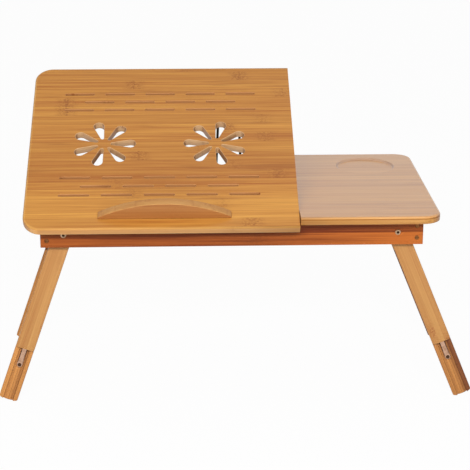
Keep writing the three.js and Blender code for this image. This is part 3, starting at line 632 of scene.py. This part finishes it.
def piece(name, shells, seat, finish, body, replaced, fibre=0, start=None):
    """A finished piece from shells in millimetres.

    seat holds the origin and the three directions of the shells' axes, so a point's place is
    origin + a * first + b * second + c * third. fibre is the axis that the grain follows, and
    start the place in the wood, along, across and down, that the seat's origin is cut from.
    """
    global piece_count
    piece_count += 1
    parts, faces, smooth, first = [], [], [], 0
    for points, quads, flats in shells:
        parts.append(points)
        faces += (quads + first).tolist() + (flats + first).tolist()
        smooth += [True] * len(quads) + [False] * len(flats)
        first += len(points)
    local = np.concatenate(parts) * MM
    origin, axes = np.array(seat[0]), np.array(seat[1:])
    mesh = bpy.data.meshes.new(name)
    mesh.from_pydata((origin + local @ axes).tolist(), [], faces)
    mesh.polygons.foreach_set("use_smooth", smooth)
    shift = np.array(start if start is not None else (0.617 * piece_count, 0.38 * piece_count, 0.1))
    order = [fibre] + [axis for axis in range(3) if axis != fibre]
    stored = mesh.attributes.new("grain", "FLOAT_VECTOR", "POINT")
    stored.data.foreach_set("vector", (local[:, order] + shift).astype(np.float32).ravel())
    stored = mesh.attributes.new("fibre", "FLOAT_VECTOR", "POINT")
    stored.data.foreach_set("vector", np.tile(axes[fibre], len(local)).astype(np.float32))
    mesh.materials.append(finishes[finish])
    made = bpy.data.objects.new(name, mesh)
    bpy.context.collection.objects.link(made)
    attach(made, body)
    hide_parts(*replaced)
    return made


def dress(made, finish, chosen):
    """Gives one more finish to the faces that a slice or a mask of face numbers chooses."""
    index = np.zeros(len(made.data.polygons), np.int32)
    made.data.polygons.foreach_get("material_index", index)
    index[chosen] = len(made.data.materials)
    made.data.materials.append(finishes[finish])
    made.data.polygons.foreach_set("material_index", index)


# %% [markdown]
# ## The tilting board
# The big board is 396 by 350 mm and 11.5 mm thick, with slots and two flowers of seven petals cut
# through it to cool a laptop. Booleans could cut them one by one. Here each cut is one more loop
# of the same shell. Both boards are sawn from one slab with round corners, so each is made
# longer than needed and trimmed by a plane, as the saw does.


# %% Tilted seat and saw
BOARD_DEPTH, BOARD_THICKNESS = 350, 11.5
CORNER, EDGE_ROUND, UNDER_ROUND, HOLE_ROUND = 27, 3, 1.6, 0.7
ROUND_STEPS, LIP_ROWS = 6, 5
FRONT_OVERHANG = 25
SAW_ALLOWANCE = 40
X, Y, Z = Vector((1, 0, 0)), Vector((0, 1, 0)), Vector((0, 0, 1))

joints = {joint["name"]: joint for joint in frame["joints"]}
tilt = math.radians(-joints["board_tilt"]["range_deg"][0])
hinge = Vector(joints["board_tilt"]["pos_m"])
up_board = Y * math.cos(tilt) + Z * math.sin(tilt)
off_board = Z * math.cos(tilt) - Y * math.sin(tilt)
tilted_seat = (Vector((0, hinge.y, hinge.z)), X, up_board, off_board)


def sawn(board, x, side):
    """Cuts the board at x, throws the part on that side away and closes the cut."""
    shape = bmesh.new()
    shape.from_mesh(board.data)
    cut = bmesh.ops.bisect_plane(
        shape, geom=shape.verts[:] + shape.edges[:] + shape.faces[:],
        plane_co=(x, 0, 0), plane_no=(side, 0, 0), clear_outer=True)["geom_cut"]
    rim = [edge for edge in cut if isinstance(edge, bmesh.types.BMEdge)]
    bmesh.ops.contextual_create(shape, geom=rim)
    bmesh.ops.recalc_face_normals(shape, faces=shape.faces[:])
    shape.to_mesh(board.data)
    shape.free()
    print(board.name, "sawn at", round(x, 4), "with", len(board.data.polygons), "faces")


# %% Slots and petals
SLOT_ROWS = ((74, 5), (92, 4), (110, 5))
SLOT_PITCH, SLOT_HALF, SLOT_ROUND = 62, 22.25, 2
PETALS, FLOWER_OFFSET = 7, 83.5
PATTERN_LEFT, SLOTS_UP, FLOWERS_UP = 3, 3, 1.5


def slot_rows(centre, middle):
    """Rows of slots at 74, 92 and 110 mm each side of the middle, with 5, 4 and 5 in a row."""
    rows = []
    for offset, count in SLOT_ROWS:
        for side in (-1, 1):
            for index in range(count):
                a = centre + (index - (count - 1) / 2) * SLOT_PITCH
                b = middle + side * offset
                rows.append(rectangle(
                    (a - SLOT_HALF, b - SLOT_ROUND), (a + SLOT_HALF, b + SLOT_ROUND), SLOT_ROUND))
    return rows


def petal(centre, middle, angle, steps=10):
    """A drop: two circles joined by their common tangents.

    The tangents lean by asin(difference of the radii / distance of the centres).
    """
    inner, outer, small, large = 12.8, 39.6, 2.3, 7.8
    lean = math.pi / 2 + math.asin((large - small) / (outer - inner))
    wide = np.linspace(-lean, lean, 2 * steps)
    tight = np.linspace(lean, 2 * np.pi - lean, steps)
    a = np.concatenate([outer + large * np.cos(wide), inner + small * np.cos(tight)])
    b = np.concatenate([large * np.sin(wide), small * np.sin(tight)])
    turned = (a + 1j * b) * np.exp(1j * angle) + centre + 1j * middle
    return np.stack([turned.real, turned.imag], 1)


# %% The board
low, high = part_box("tilting_board")
left, split = low.x / MM, high.x / MM
pattern = (left + split) / 2 - PATTERN_LEFT
middle = BOARD_DEPTH / 2 - FRONT_OVERHANG
cuts = slot_rows(pattern, middle + SLOTS_UP)
slot_count = len(cuts)
for side in (-1, 1):
    for index in range(PETALS):
        turn = 2 * math.pi * index / PETALS
        angle = turn if side < 0 else math.pi - turn
        cuts.append(petal(pattern + side * FLOWER_OFFSET, middle + FLOWERS_UP, angle))

outline = rectangle(
    (left, -FRONT_OVERHANG), (split + SAW_ALLOWANCE, BOARD_DEPTH - FRONT_OVERHANG), CORNER, 12)
edge = eased(0, BOARD_THICKNESS, EDGE_ROUND, UNDER_ROUND, steps=ROUND_STEPS)
hole_edge = eased(0, BOARD_THICKNESS, HOLE_ROUND, steps=3)
tilting = piece(
    "tilting_board_bamboo", [shell(outline, edge, cuts, hole_edge)],
    tilted_seat, "tilting", "board", ["tilting_board"],
    start=(ALONG_SHIFT + 0.0075, FRONT_OVERHANG * MM, 0.0628))


def edge_rows(outline, first, last):
    """The faces of an outline's edge from one row of its grid up to another."""
    return slice(first * len(outline), last * len(outline))


around = edge_rows(outline, 0, len(edge) - 1).stop
ends = around + np.cumsum([len(cut) for cut in cuts]) * (len(hole_edge) - 1)
# The hole walls get the pale finish, partly painted light against the shade in them; the slots'
# walls then get a finish of their own.
dress(tilting, "cut", slice(around, ends[-1]))
dress(tilting, "slot", slice(around, ends[slot_count - 1]))
# Painted light: the big board's upright face and lower round are paler for light from below, and
# its top round is lighter, a painted highlight.
dress(tilting, "edge", edge_rows(outline, LIP_ROWS, len(edge) - 1))
dress(tilting, "round", edge_rows(outline, 0, LIP_ROWS))
sawn(tilting, split * MM, 1)
print("cuts through the board:", len(cuts))

# %% [markdown]
# ## The fixed side board
# The small board is level and carries a shallow round recess for a cup. The recess could be
# pressed in with a displacement, but it has a crisp rim, so it is a pocket: a circle whose profile
# rounds over the rim, slopes 2.5 mm down and ends in a floor. Its edge has one more row of faces
# than the big board's, for a band of painted shade just under the round of its top edge.

# %% Fixed board
CUP_RADIUS, CUP_FROM_RIGHT, CUP_FROM_BACK = 45.7, 80, 73
# The height of the band of painted shade just under the side board's round.
SHADE_BAND = 1.4
low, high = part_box("fixed_board")
outline = rectangle(
    (low.x / MM - SAW_ALLOWANCE, low.y / MM), (high.x / MM, high.y / MM), CORNER, 12)
top = BOARD_THICKNESS
cup_profile = np.array([
    (0.9, top), (0.4, top - 0.12), (0.05, top - 0.5), (-1.3, top - 1.9), (-1.8, top - 2.3),
    (-2.8, top - 2.5)])
cup = circle((high.x / MM - CUP_FROM_RIGHT, high.y / MM - CUP_FROM_BACK), CUP_RADIUS, 96)
level_seat = (Vector((0, 0, low.z)), X, Y, Z)
side_edge = np.insert(edge, ROUND_STEPS + 1, (0, top - EDGE_ROUND - SHADE_BAND), axis=0)
fixed = piece(
    "fixed_board_bamboo", [shell(outline, side_edge, pockets=[(cup, cup_profile)])],
    level_seat, "fixed", "frame", ["fixed_board"], start=(1.31, 0.1765, 0.0003))
around = edge_rows(outline, 0, len(side_edge) - 1).stop
# The cup recess's wall gets that pale finish, a painted reflection of the top's sheen.
dress(fixed, "pressed", slice(around, around + len(cup) * (len(cup_profile) - 1)))
# Painted light on the side board's edge: a darker upright face, a band of painted shade under the
# round, and a lighter round, a painted highlight.
dress(fixed, "side", edge_rows(outline, LIP_ROWS, len(side_edge) - 1))
dress(fixed, "glue", edge_rows(outline, ROUND_STEPS, ROUND_STEPS + 1))
dress(fixed, "highlight_lip", edge_rows(outline, 0, LIP_ROWS))
sawn(fixed, low.x, -1)

# %% [markdown]
# ## The ledge
# A low arched fence keeps a laptop from sliding off. It is a slice of a large circle on a straight
# foot. The outline stands upright on the board, and the profile rounds both long edges. Its upper
# faces get the paler leg finish, a painted highlight for the light that falls on them.

# %% Ledge
LEDGE_HALF, LEDGE_HEIGHT, LEDGE_END, LEDGE_THICKNESS = 95.5, 29.5, 3, 12
LEDGE_INSET, LEDGE_GAP = 19, 0.3
rise = LEDGE_HEIGHT - LEDGE_END
arc_radius = (LEDGE_HALF ** 2 + rise ** 2) / (2 * rise)
across = np.linspace(LEDGE_HALF, -LEDGE_HALF, 60)
arc = np.sqrt(arc_radius ** 2 - across ** 2) + LEDGE_HEIGHT - arc_radius
arc_rounds = np.where(abs(across) == LEDGE_HALF, 1.5, 0)
ledge_corners = np.vstack([
    [(-LEDGE_HALF, 0, 0.5), (LEDGE_HALF, 0, 0.5)], np.stack([across, arc, arc_rounds], 1)])
low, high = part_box("ledge_stop")
ledge_centre = (low.x + high.x) / 2
ledge_back = LEDGE_INSET - FRONT_OVERHANG + LEDGE_THICKNESS
ledge_seat = (
    Vector((ledge_centre, hinge.y, hinge.z)) + up_board * ledge_back * MM
    + off_board * (BOARD_THICKNESS + LEDGE_GAP) * MM,
    X, off_board, -up_board)
ledge = piece(
    "ledge_bamboo", [shell(rounded(ledge_corners), eased(0, LEDGE_THICKNESS, 1.0, 0.8))],
    ledge_seat, "ledge", "board", ["ledge_stop"], start=(0.37, 0.161, 0.1001))
# Painted light: faces that look up off the board get the paler leg finish, for the light that falls
# on them.
normals = np.empty(len(ledge.data.polygons) * 3)
ledge.data.polygons.foreach_get("normal", normals)
dress(ledge, "leg", normals.reshape(-1, 3) @ np.array(off_board) > 0.5)
print("ledge arc radius:", round(arc_radius, 1), "mm")

# %% [markdown]
# ## Rails, rack and runners
# The frame is plain bars with hardly eased edges. Each fills the box of its CAD node, so the sizes
# are read from the frame and not typed again. Which way a bar faces only picks the axes of its
# outline. The long rails have holes for the pivot bolts and sunk seats for the screws, and the
# right end rail is cut open for the drawer.

# %% Bars
BAR_CORNER, BAR_EASE = 0.8, 0.7
BOLT_HOLE, SCREW_SEAT = 2.8, 3.3
FACINGS = {"front": (X, Z, -Y), "back": (-X, Z, Y), "right": (Y, Z, X), "left": (-Y, Z, -X),
           "top": (X, Y, Z)}


def box_seat(node, facing):
    """The node's box in one facing: the seat, half the outline's size and the thickness, in mm."""
    low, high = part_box(node)
    axes = FACINGS[facing]
    size = [abs(axis.dot(high - low)) for axis in axes]
    origin = (low + high) / 2 - axes[2] * size[2] / 2
    return (origin, *axes), size[0] / MM / 2, size[1] / MM / 2, size[2] / MM


def bar(node, facing, finish="rail", body="frame", holes=(), pockets=(), start=None):
    """A bar in a node's box. Holes and pockets are (world point, radius) in its outer face."""
    seat, half_a, half_b, thick = box_seat(node, facing)

    def spot(point):
        away = Vector(point) - seat[0]
        return away.dot(seat[1]) / MM, away.dot(seat[2]) / MM

    fibre = 0 if half_a > half_b else 1
    sink = np.array([(0.2, thick), (0, thick - 0.2), (-1.2, thick - 2.5), (-1.3, thick - 6)])
    body_shell = shell(
        rectangle((-half_a, -half_b), (half_a, half_b), BAR_CORNER, 3),
        eased(0, thick, BAR_EASE, steps=3),
        [circle(spot(point), radius, 32) for point, radius in holes],
        eased(0, thick, 0.2, steps=2),
        [(circle(spot(point), radius, 32), sink) for point, radius in pockets])
    return piece(f"{node}_bamboo", [body_shell], seat, finish, body, [node],
                 fibre, start)


def middle_of(node):
    low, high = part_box(node)
    return (low + high) / 2


# %% Rails, rack and runners
# This start puts the deep strip at the top of the long rails: partly its own tone, partly painted
# shade under the boards' overhang.
RAIL_START = (0.4, 10.26, 0.1)
for end in ("front", "back"):
    bolts = [(middle_of(f"{end}_{side}_pivot_bolt"), BOLT_HOLE) for side in ("left", "right")]
    screws = [(middle_of(f"{end}_{side}_{row}_screw"), SCREW_SEAT)
              for side in ("left", "right") for row in ("lower", "upper")]
    bar(f"{end}_rail", end, holes=bolts, pockets=screws, start=RAIL_START)
    bar(f"{end}_inner_rail", end, holes=bolts)
    bar(f"{end}_drawer_runner", "top")
bar("left_end_rail", "left")
bar("mid_rail", "right")
for part in ("base", "strip_1", "strip_2", "strip_3"):
    bar(f"rack_{part}", "top")

# %% Right end rail
RUNNER_HEIGHT = 5
seat, half_a, half_b, thick = box_seat("right_end_rail", "right")
door = abs(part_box("front_inner_rail")[1].y - seat[0].y) / MM
sill = -half_b + RUNNER_HEIGHT
doorway = [
    (-half_a, -half_b), (half_a, -half_b), (half_a, half_b), (door, half_b), (door, sill),
    (-door, sill), (-door, half_b), (-half_a, half_b)]
doorway = rounded([(a, b, BAR_CORNER) for a, b in doorway], 3)
piece(
    "right_end_rail_bamboo", [shell(doorway, eased(0, thick, BAR_EASE, steps=3))], seat, "rail",
    "frame", ["right_end_rail"])
print("doorway for the drawer:", round(2 * door, 1), "mm wide")

# %% [markdown]
# ## The drawer
# Under the side board runs a small drawer: a thick front, two sides, a back, a bottom and a turned
# knob. The boards are bars like the rails. The knob is a profile of radius and distance turned
# round its axis, which is what a lathe does to the real one.


# %% Turned pieces
def turned_shell(profile, count=48):
    """point(k, i) = radius(k) * (cos, sin) at turn(i), at distance(k).

    Each end is closed by a flat face on its ring.
    """
    points = carried(0, circle((0, 0), 1, count), profile)
    last = (len(profile) - 1) * count
    ends = [face(points, [np.arange(count)], True), face(points, [last + np.arange(count)], False)]
    return points, walls(len(profile), count, 0), np.concatenate(ends)


# %% Drawer
DRAWER_FACINGS = {"front": "right", "front_side": "front", "back_side": "back", "back": "right",
                  "bottom": "top"}
for part, facing in DRAWER_FACINGS.items():
    bar(f"drawer_{part}", facing, "drawer", "drawer")

knob_middle = middle_of("drawer_knob")
turn = np.linspace(0, np.pi / 2, 7)
crown = np.stack([2.5 + 5.5 * np.sin(turn), 10.5 + 3.5 * np.cos(turn)], 1)
under = np.array([
    (7.9, 9.2), (7.2, 8.0), (5.6, 6.6), (4.6, 5.0), (4.4, 3.0), (4.5, 1.2), (4.9, 0.2)])
knob_profile = np.concatenate([crown, under])
face_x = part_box("drawer_front")[1].x
knob_seat = (Vector((face_x, knob_middle.y, knob_middle.z)), Y, Z, X)
piece(
    "drawer_knob_bamboo", [turned_shell(knob_profile)], knob_seat, "drawer", "drawer",
    ["drawer_knob"], fibre=2)
print("knob rings:", len(knob_profile))

# %% [markdown]
# ## The legs
# Each leg is two pieces that slide on each other. The upper leg is a thin plate with a thick head
# round the pivot bolt. The lower leg is a bar with a dovetail channel down its outer face. A metal
# key holds them together, and its tongue shows below the plate. All are shells in the leg's own
# axes: across it, up along it and outwards. The lower leg's section is carried along the leg
# instead. Its foot is an arc of 29 mm with small rounds at its ends. A straight end can't bend, so
# the leg is sliced lengthwise and the points of its foot end are lifted to the arc.

# %% Leg sizes
LEG_HALF, LEG_DEPTH, PLATE, HEAD_END, PLATE_END = 14, 21, 7, 58, 193
LOWER_LENGTH, LOWER_FACE, CHANNEL_FLOOR = 161, -7.3, -10.5
MOUTH_HALF, FLOOR_HALF = 7.4, 8.6
FOOT_RADIUS, FOOT_CORNER = 29, 2
FIRST_SLICE, LAST_SLICE, SLICE = -12.6, 13, 1.4
KEY_ROOM, KEY_LOW, KEY_HIGH = 0.3, -190, -137
TONGUE_HALF, TONGUE_TIP, TONGUE_TOP, TONGUE_HOLE = 4.3, -226, -193.3, 1.7
LINK_LOW, LINK_HIGH = -196, -189


# %% Foot
def foot_rise(q):
    """Height of the foot's underside: an arc of 29 mm, and 2 mm rounds at its two ends."""
    centre_q = LEG_HALF - FOOT_CORNER
    centre_z = FOOT_RADIUS - math.sqrt((FOOT_RADIUS - FOOT_CORNER) ** 2 - centre_q ** 2)
    meet = FOOT_RADIUS * centre_q / (FOOT_RADIUS - FOOT_CORNER)
    q = abs(q)
    arc = FOOT_RADIUS - np.sqrt(FOOT_RADIUS ** 2 - q ** 2)
    corner = centre_z - np.sqrt(np.clip(FOOT_CORNER ** 2 - (q - centre_q) ** 2, 0, None))
    return np.where(q < meet, arc, corner)


def bend_foot(leg, seat, length):
    """Slices the leg along it, every 1.4 mm of its width, and lifts its end by foot_rise."""
    shape = bmesh.new()
    shape.from_mesh(leg.data)
    for q in np.arange(FIRST_SLICE, LAST_SLICE, SLICE):
        bmesh.ops.bisect_plane(
            shape, geom=shape.verts[:] + shape.edges[:] + shape.faces[:],
            plane_co=seat[0] + seat[1] * q * MM, plane_no=seat[1])
    shape.to_mesh(leg.data)
    shape.free()
    places = np.empty(len(leg.data.vertices) * 3)
    leg.data.vertices.foreach_get("co", places)
    places = places.reshape(-1, 3)
    away = (places - np.array(seat[0])) / MM
    across, along = away @ np.array(seat[1]), away @ np.array(seat[2])
    lift = np.where(along < -length + LOWER_LENGTH / 2, foot_rise(across), 0)
    places += lift[:, None] * MM * np.array(seat[2])
    leg.data.vertices.foreach_set("co", places.ravel())


# %% Leg shells
def upper_shells():
    """A thin plate and a thick head, each with a half circle about the bolt."""
    bore = [circle((0, 0), BOLT_HOLE, 32)]
    cheek = LEG_HALF - 0.01

    def outline(end):
        return rounded([
            (-LEG_HALF, -end, 3.5), (LEG_HALF, -end, 3.5), (LEG_HALF, LEG_HALF, cheek),
            (-LEG_HALF, LEG_HALF, cheek)], 8)

    plate = shell(
        outline(PLATE_END), eased(-PLATE, 0, 1.3, 0.05), bore, eased(-PLATE, 0, 0.2, 0.05))
    head = shell(
        outline(HEAD_END), eased(-LEG_DEPTH, -PLATE, 0.05, 1.0), bore,
        eased(-LEG_DEPTH, -PLATE, 0.05, 0.2))
    return [plate, head]


def carried_along(section, low, high, ease):
    """A section in (outward, across), carried up the leg, as points (across, up, outward)."""
    points, quads, flats = shell(section, eased(low, high, ease, steps=3))
    return points[:, [1, 2, 0]], quads, flats


def lower_shell(length):
    """A bar's section with a dovetail cut into its outer face, carried up the leg."""
    section = rounded([
        (-LEG_DEPTH, -LEG_HALF, 1.2), (LOWER_FACE, -LEG_HALF, 1.2),
        (LOWER_FACE, -MOUTH_HALF, 0.3), (CHANNEL_FLOOR, -FLOOR_HALF, 0.3),
        (CHANNEL_FLOOR, FLOOR_HALF, 0.3), (LOWER_FACE, MOUTH_HALF, 0.3),
        (LOWER_FACE, LEG_HALF, 1.2), (-LEG_DEPTH, LEG_HALF, 1.2)], 4)
    return carried_along(section, -length, -length + LOWER_LENGTH, 0.7)


def key_shells():
    """The key in the channel, its tongue with a hole, and the link between them."""
    low, floor_b, mouth_b = (
        CHANNEL_FLOOR + KEY_ROOM, FLOOR_HALF - KEY_ROOM, MOUTH_HALF - KEY_ROOM)
    section = rounded([
        (low, -floor_b, 0.2), (LOWER_FACE, -mouth_b, 0.2), (LOWER_FACE, mouth_b, 0.2),
        (low, floor_b, 0.2)], 3)
    tongue = rounded([
        (-TONGUE_HALF, TONGUE_TIP, 4.29), (TONGUE_HALF, TONGUE_TIP, 4.29),
        (TONGUE_HALF, TONGUE_TOP, 0.3), (-TONGUE_HALF, TONGUE_TOP, 0.3)], 10)
    link = rectangle((-TONGUE_HALF, LINK_LOW), (TONGUE_HALF, LINK_HIGH), 0.3, 2)
    hole = [circle((0, TONGUE_TIP + TONGUE_HALF), TONGUE_HOLE, 24)]
    high = LOWER_FACE + 1
    return [
        carried_along(section, KEY_LOW, KEY_HIGH, 0.2),
        shell(tongue, eased(low, high, 1.2, 0.05), hole, eased(low, high, 0.15, 0.05)),
        shell(link, eased(low, LOWER_FACE, 0.2, 0.05))]


# %% Four legs
# Two strips' width in, so that glue lines fall on the channel's edges, where they paint the
# crease's shade.
LOWER_START = (0.9, 2 * LEG_STRIP, 0.1)
for face_name, outward in (("front", -Y), ("back", Y)):
    for end in ("left", "right"):
        leg = f"{face_name}_{end}"
        pivot = Vector(joints[f"{leg}_fold"]["pos_m"])
        upward = Vector(joints[f"{leg}_slide"]["axis"]).normalized()
        low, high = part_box(f"{leg}_upper_leg")
        pivot.y = low.y if outward.y < 0 else high.y
        seat = (pivot, upward.cross(outward), upward, outward)
        splay = math.acos(upward.z)
        length = FOOT_RADIUS + (pivot.z / MM - FOOT_RADIUS) / math.cos(splay)
        upper, lower = f"{leg}_upper", f"{leg}_lower"
        piece(f"{upper}_bamboo", upper_shells(), seat, "leg", upper, [f"{leg}_upper_leg"],
              fibre=1)
        slider = piece(f"{lower}_bamboo", [lower_shell(length)], seat, f"lower_{end}", lower,
                       [f"{leg}_lower_leg"], fibre=1, start=LOWER_START)
        bend_foot(slider, seat, length)
        piece(f"{leg}_key_metal", key_shells(), seat, "tongue", upper, [f"{leg}_slide_key"],
              fibre=1)
        print(leg, "length to the foot:", round(length, 2), "mm")

# %% [markdown]
# ## The wire prop
# The board leans on a bent wire that turns in two clips under it. A curve object could carry a
# round bevel, but a tube over a path is a plain sum: a circle in the plane across the path at each
# of its points. The path has rounded bends, where a wire former would have bent it.

# %% Wire prop
WIRE, BEND, SIDES = 2.0, 5.0, 20
TOP_HALF, FOOT_HALF, PIN_END = 16, 21.5, 25
FAR_BELOW = -200
low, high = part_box("wire_prop")
swing = Vector(joints["prop_swing"]["pos_m"])
foot = Vector((0, high.y - WIRE * MM, low.z + WIRE * MM))
drop = Vector((0, foot.y - swing.y, foot.z - swing.z))
down = drop.normalized()
prop_length = drop.length / MM
centre_x = (low.x + high.x) / 2
right_side = [(PIN_END, 0, 0), (TOP_HALF, 0, BEND), (FOOT_HALF, prop_length, BEND)]
bends = np.array(right_side + [(-a, b, r) for a, b, r in right_side[::-1]])


def bent(corners, steps=8):
    """An open path: straight runs, with each inner corner swung through its radius.

    One corner far below closes the ring for rounded, and is left out again.
    """
    ring = rounded(np.vstack([corners, [(0, FAR_BELOW, 0)]]).tolist(), steps)
    return ring[ring[:, 1] > FAR_BELOW / 2]


path = bent(bends)
tangent = np.gradient(path, axis=0)
tangent /= np.linalg.norm(tangent, axis=1, keepdims=True)
side = np.stack([-tangent[:, 1], tangent[:, 0]], 1)
turn = np.linspace(0, -2 * np.pi, SIDES, endpoint=False)
tube = np.zeros((len(path), SIDES, 3))
tube[..., :2] = path[:, None] + WIRE * np.cos(turn)[None, :, None] * side[:, None]
tube[..., 2] = WIRE * np.sin(turn)
points = tube.reshape(-1, 3)
quads = walls(len(path), SIDES, 0)
last = len(points) - SIDES
spoke = np.arange(1, SIDES - 1)
caps = np.stack([0 * spoke, spoke, spoke + 1], 1)
flats = np.vstack([caps, (last + caps)[:, ::-1]])
wire_seat = (Vector((centre_x, swing.y, swing.z)), X, down, X.cross(down))
piece("wire_prop_painted", [(points, quads, flats)], wire_seat, "wire", "prop", ["wire_prop"])
print("prop length:", round(prop_length, 1), "mm, path points:", len(path))

# %% [markdown]
# ## Fasteners and fittings
# Screws, bolts, hinges and clips keep their CAD solids, which have the right shape. A CAD object
# may not be changed, but its material slots take the metal finishes.

# %% CAD fittings
FITTINGS = (
    ("lock_screw", "dark"), ("_screw", "screw"), ("pivot_bolt", "bolt"), ("leaf", "brass"))
for name, node in frame["nodes"].items():
    if node.hide_render:
        continue
    metal = next((finish for part, finish in FITTINGS if part in name), "steel")
    node.data.materials.clear()
    node.data.materials.append(finishes[metal])
    print(name, metal)

# %% [markdown]
# ## Pieces made
# The last cell prints how many pieces were made.

# %% Pieces made
print("pieces made:", piece_count)
